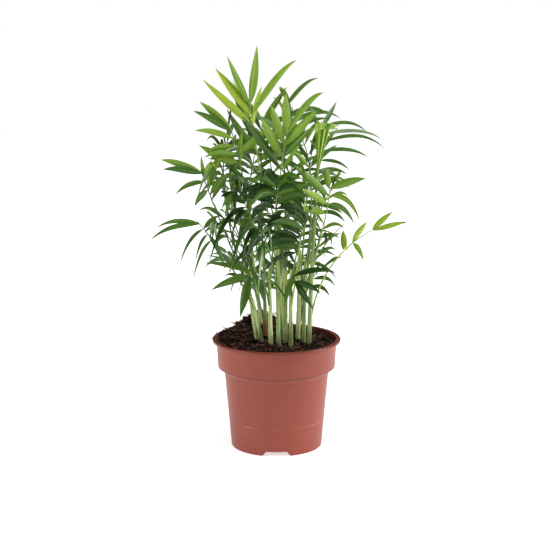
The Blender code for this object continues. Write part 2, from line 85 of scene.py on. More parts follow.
def seen(red, green, blue):
    """The linear colour of a surface that looks like this in plain 0 to 255 values."""
    linear = []
    for value in (red, green, blue):
        share = value / 255
        linear.append(share / 12.92 if share <= 0.04045 else ((share + 0.055) / 1.055) ** 2.4)
    return (*linear, 1.0)


class Wire:
    """One output of a node. Working with wires adds the Math nodes that work it out."""

    def __init__(self, nodes, socket):
        self.nodes = nodes
        self.socket = socket

    def math(self, operation, *values):
        return self.nodes.node("ShaderNodeMath", {"operation": operation}, dict(enumerate(values)))

    def __add__(self, other):
        return self.math("ADD", self, other)

    __radd__ = __add__

    def __sub__(self, other):
        return self.math("SUBTRACT", self, other)

    def __rsub__(self, other):
        return self.math("SUBTRACT", other, self)

    def __mul__(self, other):
        return self.math("MULTIPLY", self, other)

    __rmul__ = __mul__

    def __truediv__(self, other):
        return self.math("DIVIDE", self, other)

    def __rtruediv__(self, other):
        return self.math("DIVIDE", other, self)

    def __abs__(self):
        return self.math("ABSOLUTE", self)

    def between(self, low, high):
        """0 up to low, 1 from high on, and smooth between them."""
        settings = {"interpolation_type": "SMOOTHSTEP"}
        sockets = {"Value": self, "From Min": low, "From Max": high}
        return self.nodes.node("ShaderNodeMapRange", settings, sockets)


class Nodes:
    """The nodes of one finish, or of the studio's light."""

    def __init__(self, tree):
        self.tree = tree

    def fill(self, socket, value):
        """Sets a socket to a value, or links a wire to it."""
        if isinstance(value, Wire):
            self.tree.links.new(value.socket, socket)
        else:
            socket.default_value = value

    def node(self, kind, settings, sockets, output=0):
        """Adds one node: its settings, then the values or links of its sockets. Gives one of its outputs."""
        made = self.tree.nodes.new(kind)
        for name, value in settings.items():
            setattr(made, name, value)
        named = {socket.identifier: socket for socket in made.inputs}
        for name, value in sockets.items():
            socket = named[name] if name in named else made.inputs[name]
            self.fill(socket, value)
        return Wire(self, made.outputs[output])


class Finish(Nodes):
    """One surface finish: a Principled shader, and the nodes that vary it over the piece."""

    def __init__(self, name, plain):
        self.material = bpy.data.materials.new(name)
        self.material.use_nodes = True
        super().__init__(self.material.node_tree)
        self.shader = self.tree.nodes["Principled BSDF"]
        for socket, value in plain.items():
            self.set(socket, value)
        self.here = self.node("ShaderNodeTexCoord", {}, {}, "Object")

    def set(self, socket, value):
        """Sets or links one socket of the shader."""
        self.fill(self.shader.inputs[socket], value)

    def noise(self, size, detail=2.0, rough=0.5, stretch=(1, 1, 1)):
        """Cloudy noise from 0 to 1, whose blotches are about size across, stretched along the axes."""
        sockets = {"Location": (0, 0, 0), "Scale": stretch, "Vector": self.here}
        place = self.node("ShaderNodeMapping", {}, sockets)
        sockets = {"Vector": place, "Scale": 1 / size, "Detail": detail, "Roughness": rough}
        return self.node("ShaderNodeTexNoise", {}, sockets)

    def height(self):
        """How high the surface is above the ground, in metres."""
        return self.node("ShaderNodeSeparateXYZ", {}, {"Vector": self.here}, "Z")

    def blend(self, factor, first, second):
        """A colour that goes from first to second with the factor."""
        sockets = {"Factor_Float": factor, "A_Color": first, "B_Color": second}
        return self.node("ShaderNodeMix", {"data_type": "RGBA"}, sockets, 2)

    def raise_by(self, depth, relief):
        """Bump of that depth in metres, from a relief of 0 to 1."""
        sockets = {"Height": relief, "Distance": depth, "Strength": 1.0}
        self.set("Normal", self.node("ShaderNodeBump", {}, sockets))


def place(name, points, faces, finish, slot, stands_for, crease=POT_CREASE):
    """Sets one piece in the frame: its mesh and finish, the body it rides on and the nodes it stands for."""
    mesh = bpy.data.meshes.new(name)
    mesh.from_pydata([tuple(point) for point in points], [], faces)
    mesh.materials.append(finish.material)
    mesh.shade_smooth()
    mesh.set_sharp_from_angle(angle=math.radians(crease))
    made = bpy.data.objects.new(name, mesh)
    bpy.context.scene.collection.objects.link(made)
    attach(made, "root")
    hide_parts(*stands_for)
    return made


def curve_at(start, bend, end, share):
    """The point at that share of the way along a curve that leaves start and reaches end by way of bend."""
    return start * (1 - share) ** 2 + bend * 2 * share * (1 - share) + end * share**2


def rounded(corners, steps=6):
    """A closed profile of (radius, height), each corner rounded off by its own size."""
    line = []
    for i, (radius, height, size) in enumerate(corners):
        corner = Vector((radius, height))
        before = Vector(corners[i - 1][:2]) - corner
        after = Vector(corners[(i + 1) % len(corners)][:2]) - corner
        start = corner + before.normalized() * size
        end = corner + after.normalized() * size
        for k in range(steps + 1 if size else 1):
            line.append(curve_at(start, corner, end, k / steps))
    return line


def spaced(line, step):
    """The same line with more points, so that no two are further apart than step."""
    finer = []
    for start, end in zip(line, line[1:]):
        count = max(1, math.ceil((end - start).length / step))
        finer += [start.lerp(end, k / count) for k in range(count)]
    return finer + [line[-1]]


def notch_lift(bearing):
    """How far the foot ring's edge is raised at a bearing."""
    nearest = min(abs((bearing - b + 180) % 360 - 180) for b in NOTCH_BEARINGS)
    inside = (NOTCH_HALF - math.radians(nearest) * FOOT_RADIUS) / NOTCH_SLOPE
    share = min(1.0, max(0.0, inside + 0.5))
    return NOTCH_HEIGHT * share * share * (3 - 2 * share)


def turned_pot():
    """The pot's profile turned about its axis, with the foot ring's edge raised at the notches."""
    lip_under = POT_HEIGHT - LIP_DEPTH
    outside = [
        (FOOT_RADIUS, 0, 0.7 * MM),
        (SHOULDER_RADIUS, COLLAR_UNDER - 0.5 * MM, 0.4 * MM),
        (COLLAR_FOOT_RADIUS, COLLAR_UNDER, 0.8 * MM),
        (COLLAR_TOP_RADIUS, lip_under, 0.5 * MM),
        (LIP_RADIUS, lip_under, 0.5 * MM),
        (LIP_RADIUS, POT_HEIGHT, 0.9 * MM),
        (COLLAR_TOP_RADIUS - WALL / 2, POT_HEIGHT, 0.9 * MM),
        (COLLAR_FOOT_RADIUS - WALL, COLLAR_FOOT_HEIGHT, 2.0 * MM),
        (SHOULDER_RADIUS - WALL, SHOULDER_HEIGHT, 2.0 * MM),
        (FOOT_RADIUS - WALL, FLOOR_TOP, 1.0 * MM),
        (0, FLOOR_TOP, 0),
        (0, FLOOR_UNDER, 0),
        (FOOT_RADIUS - FOOT_RING, FLOOR_UNDER, 0.4 * MM),
        (FOOT_RADIUS - FOOT_RING, 0, 0.5 * MM),
    ]
    line = rounded(outside)
    line = spaced(line + line[:1], POT_STEP)[:-1]
    axis_points = [i for i, (radius, _) in enumerate(line) if radius < ON_AXIS]
    line = line[: axis_points[0] + 1] + line[axis_points[-1]:]
    points = []
    rings = []
    for number, (radius, height) in enumerate(line):
        if radius < ON_AXIS:
            rings.append([len(points)] * POT_SIDES)
            points.append(Vector((0, 0, height)))
            continue
        rings.append([len(points) + k for k in range(POT_SIDES)])
        fade = FLOOR_UNDER if number > axis_points[0] else NOTCH_FADE
        on_ring = radius > FOOT_RADIUS - 2 * FOOT_RING
        notched = max(0.0, 1 - height / fade) if on_ring else 0.0
        for k in range(POT_SIDES):
            angle = 360 * k / POT_SIDES
            lift = notch_lift(angle) * notched
            turn = math.radians(angle)
            points.append(Vector((radius * math.cos(turn), radius * math.sin(turn), height + lift)))
    faces = []
    for lower, upper in zip(rings, rings[1:] + rings[:1]):
        for k in range(POT_SIDES):
            j = (k + 1) % POT_SIDES
            corners = tuple(dict.fromkeys((lower[k], lower[j], upper[j], upper[k])))
            if len(corners) > 2:
                faces.append(corners)
    return points, faces


def drill(pot):
    """Cuts the drain holes through the pot's floor."""
    cutters = bmesh.new()
    for i in range(DRAIN_COUNT):
        turn = Matrix.Rotation(2 * math.pi * (i + 0.5) / DRAIN_COUNT, 4, "Z")
        spot = turn @ Matrix.Translation((DRAIN_RING, 0, (FLOOR_UNDER + FLOOR_TOP) / 2))
        bmesh.ops.create_cone(
            cutters,
            cap_ends=True,
            segments=32,
            radius1=DRAIN_RADIUS,
            radius2=DRAIN_RADIUS,
            depth=3 * (FLOOR_TOP - FLOOR_UNDER),
            matrix=spot,
        )
    mesh = bpy.data.meshes.new("drain_cutter")
    cutters.to_mesh(mesh)
    cutters.free()
    cutter = bpy.data.objects.new("drain_cutter", mesh)
    bpy.context.scene.collection.objects.link(cutter)
    cut = pot.modifiers.new("drains", "BOOLEAN")
    cut.operation = "DIFFERENCE"
    cut.solver = "EXACT"
    cut.object = cutter
    bpy.context.view_layer.update()
    drilled = bpy.data.meshes.new_from_object(pot.evaluated_get(bpy.context.evaluated_depsgraph_get()))
    pot.modifiers.clear()
    bpy.data.objects.remove(cutter)
    pot.data = drilled
    drilled.set_sharp_from_angle(angle=math.radians(POT_CREASE))


plastic = Finish("terracotta_plastic", {"Specular IOR Level": 0.36})
height = plastic.height()
clouds = plastic.noise(60 * MM, 3)
drawn = plastic.noise(5 * MM, 2, 0.5, (1, 1, 0.06))
scratches = plastic.noise(3 * MM, 4, 0.7, (0.5, 0.5, 3)).between(0.66, 0.74)
patches = plastic.noise(11 * MM, 2).between(0.42, 0.62)
worn = (1 - (abs(height - WEAR_HEIGHT) / WEAR_WIDTH).between(0, 1)) * patches
grain = plastic.noise(0.5 * MM, 2)
body = plastic.blend(clouds.between(0.3, 0.7), seen(132, 58, 40), seen(142, 63, 45))
body = plastic.blend(drawn * 0.35, body, seen(128, 56, 39))
body = plastic.blend(worn * 0.55, body, seen(206, 136, 116))
body = plastic.blend(scratches * 0.10, body, seen(224, 170, 152))
# Painted shade: a narrow band of the body just under the collar's ledge is darkened, as the shade in that
# crease.
ledge_shade_from = height.between(COLLAR_UNDER - 3.5 * MM, COLLAR_UNDER - 1.0 * MM)
ledge_shade_until = height.between(COLLAR_UNDER + 0.4 * MM, COLLAR_UNDER + 1.6 * MM)
body = plastic.blend(ledge_shade_from * (1 - ledge_shade_until) * 0.7, body, seen(96, 36, 25))
# Painted shade: the rolled lip is painted a darker red, for the shade along it. It is also made a little
# glossier.
at_lip = height.between(POT_HEIGHT - LIP_DEPTH - 0.8 * MM, POT_HEIGHT - LIP_DEPTH)
plastic.set("Base Color", plastic.blend(at_lip * 0.85, body, seen(112, 41, 27)))
plastic.set("Roughness", 0.36 + clouds * 0.1 + worn * 0.15 + grain * 0.05 - at_lip * 0.16)
plastic.raise_by(0.05 * MM, grain * 0.35 + drawn * 0.5 + scratches * 0.4)
pot = place("pot_moulding", *turned_pot(), plastic, "pot", ["pot"])
drill(pot)


# The soil is damp, dark, fibrous growing mix: a heaped, lumpy bed with loose crumbs in three browns, and
# with root strands, fine root hairs and straws on it. It fills the pot and is heaped up behind the canes.
SOIL_SEED = 7
SOIL_RINGS = 64
SOIL_SIDES = 176
SOIL_DEEP = 18.0 * MM
SOIL_NARROWER = 0.975
SOIL_LUMP = 1.6 * MM
SOIL_PROUD = 4.0 * MM
HEAP = Vector((-14 * MM, 24 * MM, 0))
HEAP_HEIGHT = 7.0 * MM
HEAP_SPREAD = 19.0 * MM
CRUMBS = 2900
FIBRES = 1500
STRANDS = 460
STRAWS = 150
RIM_FIBRES = 60
FOOT_CRUMBS = 14
CRUMB_TONES = {"dark": 7, "brown": 4, "reddish": 2}
FIBRE_STEPS = 6
EVENED_OVER = 4.0 * MM
ABOVE_ALL = 0.2
soil_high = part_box("soil")[1]
soil_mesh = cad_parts["soil"].data
soil_top = BVHTree.FromPolygons(
    [v.co.copy() for v in soil_mesh.vertices],
    [tuple(p.vertices) for p in soil_mesh.polygons],
)
SOIL_EDGE = COLLAR_TOP_RADIUS - 1.05 * MM


def packed_height(x, y):
    """The height of the packed soil, which has flat facets, evened out over a few millimetres."""
    total = 0.0
    for i in range(6):
        angle = 2 * math.pi * i / 6
        spot = Vector((x + EVENED_OVER * math.cos(angle), y + EVENED_OVER * math.sin(angle), 0))
        reach = min(1.0, (SOIL_EDGE - 2 * MM) / max(spot.length, MM))
        hit = soil_top.ray_cast(Vector((spot.x * reach, spot.y * reach, ABOVE_ALL)), -UP)[0]
        total += hit.z
    return total / 6


def soil_surface(x, y):
    """The lumpy height of the soil bed."""
    spot = Vector((x, y, 0)) / (4.2 * MM)
    coarse = noise.noise(spot * 0.45)
    middle = noise.noise(spot * 1.3 + Vector((5, 0, 2)))
    fine = noise.noise(spot * 3.1 + Vector((0, 7, 4)))
    inside = 1 - (math.hypot(x, y) / SOIL_EDGE) ** 8
    lumps = SOIL_LUMP * (0.9 * coarse + 1.1 * middle + 0.5 * fine) * (0.4 + 0.6 * inside)
    heap = HEAP_HEIGHT * math.exp(-((Vector((x, y, 0)) - HEAP).length / HEAP_SPREAD) ** 2)
    level = packed_height(x, y) + lumps + heap * inside + SOIL_PROUD * (0.95 - 0.75 * x / SOIL_EDGE)
    return min(level, POT_HEIGHT - 1.0 * MM + 30 * MM * inside)


def on_soil(radius, angle, lift):
    """The spot on the bed at a distance and bearing from the middle, raised by lift."""
    x, y = radius * math.cos(angle), radius * math.sin(angle)
    return Vector((x, y, soil_surface(x, y) + lift))


def soil_bed():
    """A closed bed: the lumpy top, its side just inside the pot's wall, and a flat underside."""
    points = [Vector((0, 0, soil_surface(0, 0)))]
    for ring in range(1, SOIL_RINGS + 1):
        radius = SOIL_EDGE * ring / SOIL_RINGS
        for k in range(SOIL_SIDES):
            points.append(on_soil(radius, 2 * math.pi * k / SOIL_SIDES, 0))
    under = len(points)
    for k in range(SOIL_SIDES):
        edge = points[under - SOIL_SIDES + k]
        points.append(Vector((edge.x * SOIL_NARROWER, edge.y * SOIL_NARROWER, POT_HEIGHT - SOIL_DEEP)))
    faces = [(0, 1 + k, 1 + (k + 1) % SOIL_SIDES) for k in range(SOIL_SIDES)]
    for ring in range(SOIL_RINGS):
        low = 1 + ring * SOIL_SIDES
        for k in range(SOIL_SIDES):
            j = (k + 1) % SOIL_SIDES
            faces.append((low + k, low + SOIL_SIDES + k, low + SOIL_SIDES + j, low + j))
    faces.append(tuple(range(len(points) - 1, under - 1, -1)))
    return points, faces


class Bundle:
    """Points and faces gathered for one joined piece, and the nodes that it stands for."""

    def __init__(self):
        self.points = []
        self.faces = []
        self.nodes = set()

    def add(self, points, faces, node):
        first = len(self.points)
        self.points += points
        self.faces += [tuple(first + i for i in face) for face in faces]
        self.nodes.add(node)

    def place(self, name, finish, slot, crease=60):
        """Sets the gathered mesh in the frame as one piece."""
        return place(name, self.points, self.faces, finish, slot, sorted(self.nodes), crease)


def crumb(draw, spot, size, shape):
    """One lump of soil: a rounded pebble pushed in and out by noise, half sunk at its spot."""
    points, faces = shape
    turn = Quaternion((draw.gauss(0, 1), draw.gauss(0, 1), draw.gauss(0, 1), draw.gauss(0, 1))).normalized()
    flat = Vector((1, draw.uniform(0.6, 1), draw.uniform(0.45, 0.9)))
    shift = Vector((draw.uniform(0, 99), draw.uniform(0, 99), 0))
    moved = []
    for point in points:
        bulge = 1 + 0.6 * noise.noise(point * 1.9 + shift)
        moved.append(spot + turn @ (point * flat) * (size * bulge))
    return moved, faces


def tube_faces(rings, sides):
    """The faces of a closed tube whose points go round ring by ring."""
    faces = [tuple(range(sides - 1, -1, -1))]
    for i in range(rings - 1):
        for k in range(sides):
            j = (k + 1) % sides
            low = i * sides
            faces.append((low + k, low + j, low + sides + j, low + sides + k))
    faces.append(tuple(range((rings - 1) * sides, rings * sides)))
    return faces


def level(bearing):
    """The level direction at a bearing from +X."""
    return Vector((math.cos(bearing), math.sin(bearing), 0))


def hose(centres, radii, sides, flat=1.0, across=None):
    """A closed tube along a line. Its section is an oval, flat times as deep as it is wide."""
    points = []
    count = len(centres)
    side = across
    for i, centre in enumerate(centres):
        heading = (centres[min(i + 1, count - 1)] - centres[max(i - 1, 0)]).normalized()
        if side is None:
            side = heading.orthogonal()
        side = (side - heading * side.dot(heading)).normalized()
        depth = heading.cross(side)
        for k in range(sides):
            angle = 2 * math.pi * k / sides
            points.append(centre + (side * math.cos(angle) + depth * math.sin(angle) * flat) * radii[i])
    return points, tube_faces(count, sides)


def fibre(draw, spot, length, thick, lift, heading=None):
    """One root hair or straw: a thin, bent line that lies on the soil with its ends a little raised."""
    bearing = draw.uniform(0, 2 * math.pi) if heading is None else heading
    bend = draw.uniform(-1.4, 1.4)
    centres = []
    for k in range(FIBRE_STEPS + 1):
        share = k / FIBRE_STEPS
        centres.append(spot.copy())
        bearing += bend / FIBRE_STEPS
        spot = spot + level(bearing) * (length / FIBRE_STEPS)
        spot.z += lift * (share - 0.35) * length / FIBRE_STEPS
    return hose(centres, [thick * (1 - 0.6 * k / FIBRE_STEPS) for k in range(FIBRE_STEPS + 1)], 5)


def soil_finish(name, dark, light, size):
    """A damp earthy finish in two browns."""
    earth = Finish(name, {"Specular IOR Level": 0.12})
    mottled = earth.noise(size, 5, 0.7)
    earth.set("Base Color", earth.blend(mottled.between(0.35, 0.68), dark, light))
    earth.set("Roughness", 0.95 - mottled * 0.2)
    earth.raise_by(0.5 * MM, earth.noise(0.8 * MM, 4, 0.7))
    return earth


draw = random.Random(SOIL_SEED)
pebble = bmesh.new()
bmesh.ops.create_icosphere(pebble, subdivisions=2, radius=1)
pebble_faces = [tuple(v.index for v in face.verts) for face in pebble.faces]
pebble_shape = ([v.co.copy() for v in pebble.verts], pebble_faces)
pebble.free()
bed = soil_finish("soil_bed", seen(6, 4, 4), seen(24, 15, 12), 3 * MM)
place("soil_bed", *soil_bed(), bed, "soil", ["soil"], crease=80)
crumb_finishes = {
    "dark": soil_finish("soil_crumb_dark", seen(5, 4, 4), seen(24, 16, 13), 1.5 * MM),
    "brown": soil_finish("soil_crumb_brown", seen(16, 11, 9), seen(52, 34, 27), 1.5 * MM),
    "reddish": soil_finish("soil_crumb_reddish", seen(44, 28, 22), seen(90, 60, 47), 1.5 * MM),
}
crumbs = {tone: Bundle() for tone in crumb_finishes}
for i in range(CRUMBS):
    radius = (SOIL_EDGE - 1.5 * MM) * math.sqrt(draw.random())
    angle = draw.uniform(0, 2 * math.pi)
    size = draw.triangular(0.4, 2.7, 0.6) * MM
    spot = on_soil(radius, angle, size * 0.35)
    tone = draw.choices(list(CRUMB_TONES), list(CRUMB_TONES.values()))[0]
    crumbs[tone].add(*crumb(draw, spot, size, pebble_shape), "soil")
CANE_NAMES = sorted(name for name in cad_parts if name.startswith("cane_"))
for name in CANE_NAMES:
    foot_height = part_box(name)[0].z
    lowest = [v.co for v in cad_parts[name].data.vertices if v.co.z < foot_height + 1 * MM]
    foot = sum(lowest, Vector()) / len(lowest)
    for i in range(FOOT_CRUMBS):
        angle = draw.uniform(0, 2 * math.pi)
        x = foot.x + draw.uniform(2.2, 4.6) * MM * math.cos(angle)
        y = foot.y + draw.uniform(2.2, 4.6) * MM * math.sin(angle)
        size = draw.uniform(0.5, 1.5) * MM
        spot = Vector((x, y, soil_surface(x, y) + size * 0.5))
        crumbs[draw.choice(("dark", "brown"))].add(*crumb(draw, spot, size, pebble_shape), "soil")
for tone, bundle in crumbs.items():
    bundle.place(f"soil_crumbs_{tone}", crumb_finishes[tone], "soil")
hairs = Bundle()
straws = Bundle()
strands = Bundle()
for i in range(STRANDS):
    radius = (SOIL_EDGE - 5 * MM) * math.sqrt(draw.random())
    angle = draw.uniform(0, 2 * math.pi)
    spot = on_soil(radius, angle, 1.1 * MM)
    thick = draw.uniform(0.22, 0.5) * MM
    strands.add(*fibre(draw, spot, draw.uniform(5, 14) * MM, thick, draw.uniform(0.2, 1.4)), "soil")
for i in range(FIBRES + STRAWS):
    radius = (SOIL_EDGE - 6 * MM) * math.sqrt(draw.random())
    angle = draw.uniform(0, 2 * math.pi)
    spot = on_soil(radius, angle, 0.6 * MM)
    length = draw.uniform(3, 11) * MM
    if i < FIBRES:
        thick = draw.uniform(0.16, 0.36) * MM
        hairs.add(*fibre(draw, spot, length, thick, draw.uniform(0, 0.9)), "soil")
    else:
        thick = draw.uniform(0.2, 0.4) * MM
        straws.add(*fibre(draw, spot, length, thick, draw.uniform(0.1, 0.7)), "soil")
for i in range(RIM_FIBRES):
    angle = math.radians(draw.uniform(110, 250))
    radius = SOIL_EDGE - draw.uniform(1, 5) * MM
    spot = on_soil(radius, angle, 0.4 * MM)
    heading = angle + draw.uniform(-0.6, 0.6)
    length = draw.uniform(4, 10) * MM
    hairs.add(*fibre(draw, spot, length, 0.3 * MM, draw.uniform(1.0, 3.2), heading), "soil")
hair = soil_finish("root_hair", seen(70, 46, 36), seen(160, 118, 94), 2 * MM)
straw = soil_finish("straw", seen(150, 112, 76), seen(212, 174, 130), 2 * MM)
strand = soil_finish("root_strand", seen(74, 47, 37), seen(158, 112, 88), 2 * MM)
strands.place("soil_root_strands", strand, "soil")
hairs.place("soil_root_hairs", hair, "soil")
straws.place("soil_straws", straw, "soil")


# The canes are the young plants' thin green stems, which stand close together and lean apart. Each is
# wrapped in the ridged sheaths of old leaves, green or dry, and rises from the soil.
CANE_FOOT_RADIUS = 2.6 * MM
CANE_TOP_RADIUS = 1.5 * MM
CANE_DRAWN = 0.74
CANE_SIDES = 24
CANE_STEPS = 40
CANE_SUNK = 6.0 * MM
CANE_SEED = 19
SHEATH_PROUD = 0.18 * MM
SOIL_LEVEL = soil_high.z - 1 * MM
DRY_CANES = ("cane_03", "cane_14")
CANE_TONES = (0, 0, 1, 0, 1, 0, 1, 0, 0, 1, 2, 1, 2, 1)
SHEATH_STEPS = 16


class Cane:
    """One cane's bowed line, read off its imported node: the middle of its lowest and of its highest ring."""

    def __init__(self, name):
        self.name = name
        corners = [v.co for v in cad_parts[name].data.vertices]
        low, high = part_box(name)
        self.foot = self.middle([c for c in corners if c.z < low.z + 0.05 * MM])
        self.top = self.middle([c for c in corners if c.z > high.z - 0.05 * MM])
        leant = self.foot.lerp(self.top, 0.3)
        self.bow = Vector((leant.x, leant.y, (self.foot.z + self.top.z) / 2))

    def middle(self, corners):
        distinct = {tuple(round(value / MM, 2) for value in corner): corner for corner in corners}
        around = list(distinct.values())
        rim = max(around, key=lambda c: (c - around[0]).length)
        reach = (rim - around[0]).length
        outer = [c for c in around if any((c - other).length > 0.5 * reach for other in around)]
        return sum(outer, Vector()) / len(outer)

    def at(self, share):
        return curve_at(self.foot, self.bow, self.top, share)

    def share_at(self, height):
        return (height - self.foot.z) / (self.top.z - self.foot.z)

    def radius(self, share):
        return CANE_FOOT_RADIUS + share * (CANE_TOP_RADIUS - CANE_FOOT_RADIUS)


def stem(cane, draw):
    """The cane itself: flared at the soil, lightly ridged along its length, and closed at the top."""
    phase = draw.uniform(0, 6)
    points = []
    for i in range(CANE_STEPS + 1):
        share = i / CANE_STEPS
        centre = cane.at(share)
        flare = 1 + 0.35 * (1 - share) ** 14
        ring = 1 + 0.05 * max(0.0, math.cos(share * 19 + phase)) ** 30
        for k in range(CANE_SIDES):
            angle = 2 * math.pi * k / CANE_SIDES
            ridges = 1 + 0.06 * math.cos(3 * angle + phase + 2 * share) + 0.05 * math.cos(8 * angle - phase)
            radius = CANE_DRAWN * cane.radius(share) * flare * ring * ridges
            points.append(centre + level(angle) * radius)
    for point in points[:CANE_SIDES]:
        point.z -= CANE_SUNK
    return points, tube_faces(CANE_STEPS + 1, CANE_SIDES)


def sheath(cane, low, high, proud, draw):
    """An old leaf's sheath round the cane from one height to another, with a slanted, thin upper edge."""
    bearing = draw.uniform(0, 2 * math.pi)
    phase = draw.uniform(0, 6)
    slant = draw.uniform(3, 7) * MM
    points = []
    for i in range(SHEATH_STEPS + 2):
        share_up = min(i / SHEATH_STEPS, 1.0)
        for k in range(CANE_SIDES):
            angle = 2 * math.pi * k / CANE_SIDES
            height = low + (high - low + slant * math.cos(angle - bearing)) * share_up
            share = cane.share_at(height)
            open_up = 0.25 * share_up**6 * max(0.0, math.cos(angle - bearing))
            ridges = 0.14 * math.cos(9 * angle + phase) + 0.1 * math.cos(5 * angle - phase)
            radius = CANE_DRAWN * cane.radius(share) * 1.04 + proud * (1 + ridges) + open_up * MM
            if i in (0, SHEATH_STEPS + 1):
                radius = CANE_DRAWN * cane.radius(share) * 0.8
            points.append(cane.at(share) + level(angle) * radius)
    return points, tube_faces(SHEATH_STEPS + 2, CANE_SIDES)


def stem_finish(name, pale, green, flecks):
    """A smooth green stem: streaked pale and green along its length, partly its own striping and partly
    painted highlight and shade, and flecked with brown where old leaves came off.
    """
    skin = Finish(name, {"Specular IOR Level": 0.45})
    streaks = skin.noise(1.6 * MM, 3, 0.6, (1, 1, 0.05))
    clouds = skin.noise(14 * MM, 2)
    specks = skin.noise(2.4 * MM, 3, 0.6, (1, 1, 0.5)).between(0.68, 0.73)
    # Pale streaks: partly the stem's own striping, partly painted highlight. Green streaks: partly painted
    # shade on its sides.
    colour = skin.blend(streaks.between(0.35, 0.65), pale, green)
    colour = skin.blend(clouds.between(0.55, 0.8) * 0.35, colour, seen(128, 150, 66))
    colour = skin.blend(specks * flecks, colour, seen(96, 62, 38))
    earthy = (1 - skin.height().between(SOIL_LEVEL, SOIL_LEVEL + 7 * MM)) * clouds.between(0.3, 0.6)
    skin.set("Base Color", skin.blend(earthy * 0.5, colour, seen(70, 46, 30)))
    skin.set("Roughness", 0.42 + streaks * 0.15)
    skin.raise_by(0.25 * MM, streaks)
    return skin


draw = random.Random(CANE_SEED)
canes = [Cane(name) for name in CANE_NAMES]
stem_finishes = [
    stem_finish("stem_pale", seen(206, 212, 136), seen(118, 142, 56), 0.9),
    stem_finish("stem_green", seen(170, 184, 94), seen(86, 116, 40), 0.9),
    stem_finish("stem_olive", seen(138, 148, 82), seen(78, 100, 46), 0.9),
]
green_sheaths = Bundle()
pale_sheaths = Bundle()
dry_sheaths = Bundle()
for number, cane in enumerate(canes):
    finish = stem_finishes[CANE_TONES[number]]
    place(f"{cane.name}_stem", *stem(cane, draw), finish, "cane", [cane.name], 60)
    foot = cane.foot.z
    tall = cane.top.z - foot
    first = foot + tall * draw.uniform(0.28, 0.42)
    second = foot + tall * draw.uniform(0.6, 0.8)
    bundle = dry_sheaths if cane.name in DRY_CANES else draw.choice((pale_sheaths, green_sheaths))
    bundle.add(*sheath(cane, foot - CANE_SUNK, first, 1.3 * SHEATH_PROUD, draw), cane.name)
    bundle = draw.choice((pale_sheaths, green_sheaths))
    bundle.add(*sheath(cane, first - 4 * MM, second, SHEATH_PROUD, draw), cane.name)
dry = Finish("sheath_dry", {"Specular IOR Level": 0.25})
fibres = dry.noise(1.2 * MM, 4, 0.7, (1, 1, 0.05))
dry.set("Base Color", dry.blend(fibres.between(0.35, 0.65), seen(112, 82, 40), seen(168, 132, 76)))
dry.set("Roughness", 0.8 - fibres * 0.1)
dry.raise_by(0.3 * MM, fibres)
green = stem_finish("sheath_green", seen(156, 176, 102), seen(90, 124, 58), 0.6)
pale = stem_finish("sheath_pale", seen(198, 206, 146), seen(134, 156, 84), 0.6)
green_sheaths.place("sheaths_green", green, "cane")
pale_sheaths.place("sheaths_pale", pale, "cane")
dry_sheaths.place("sheaths_dry", dry, "cane")


# The fronds are the palm's leaves. Each has a petiole, whose foot clasps its cane, and a thin rib that
# bears pairs of folded, lance-shaped leaflets. Every frond follows the line of its packed blade.

# Each front frond: the cane, then the foot's height, the tip, the petiole's lift and the leafy rib's length
# in millimetres, the pairs of leaflets, the longest leaflet in millimetres, the first and last leaflets'
# angles from the rib in degrees, the sag, how far the blade turns to the viewer, the leaflets' width in
# millimetres, and the frond's two leaf tones.
FRONT_FRONDS = {
    "top": (5, 190, (-25, 0, 326), 56, 36, 4, 63, 47, 13, 0.02, 0.95, 7.4, "lime", "bright"),
    "bright": (3, 172, (10, -38, 302), 84, 42, 4, 56, 64, 24, 0.02, 0.9, 8.0, "bright", "mid"),
    "upper_right": (6, 166, (5, 10, 318), 90, 40, 5, 62, 62, 24, 0.34, 0.5, 6.2, "mid", "grey"),
    "right_arch": (9, 172, (42, 4, 303), 84, 46, 6, 68, 68, 20, 0.48, 0.65, 4.7, "grey", "mid"),
    "right_front": (10, 184, (48, -20, 249), 46, 30, 4, 44, 90, 18, 0.36, 0.85, 7.6, "bright", "mid"),
    "far_right": (10, 138, (93, -14, 210), 50, 42, 4, 34, 66, 11, 0.1, 0.7, 6.4, "lime", "bright"),
    "left": (0, 168, (-69, -8, 262), 60, 32, 4, 52, 46, 22, 0.26, 0.8, 6.6, "mid", "bright"),
    "upper_left": (2, 164, (-42, 0, 300), 90, 38, 5, 56, 62, 20, 0.1, 0.85, 7.4, "bright", "mid"),
    "left_arch": (0, 156, (-46, 8, 286), 90, 40, 5, 42, 78, 30, 0.46, 0.4, 5.6, "grey", "mid"),
    "low_left": (1, 148, (-72, -20, 216), 46, 24, 4, 62, 58, 14, 0.6, 0.6, 5.2, "mid", "grey"),
    "foot_left": (3, 150, (-26, -40, 167), 32, 17, 3, 46, 56, 24, 0.2, 0.9, 8.4, "mid", "deep"),
    "foot_right": (7, 158, (17, -46, 162), 22, 17, 3, 42, 50, 22, 0.16, 0.85, 8.0, "deep", "mid"),
    "middle_right": (7, 166, (28, -44, 222), 34, 40, 6, 46, 96, 24, 0.16, 0.75, 8.6, "deep", "mid"),
    "middle_left": (3, 164, (-34, -36, 246), 60, 38, 5, 46, 76, 24, 0.3, 0.5, 8.4, "deep", "mid"),
    "middle_low": (4, 160, (-16, -52, 214), 46, 32, 4, 48, 84, 26, 0.3, 0.6, 8.2, "deep", "grey"),
    "middle": (4, 178, (-10, -44, 258), 70, 36, 5, 48, 70, 20, 0.2, 0.6, 9.6, "deep", "mid"),
    "middle_high": (7, 148, (20, -38, 258), 70, 34, 4, 48, 74, 20, 0.24, 0.6, 8.4, "mid", "bright"),
}
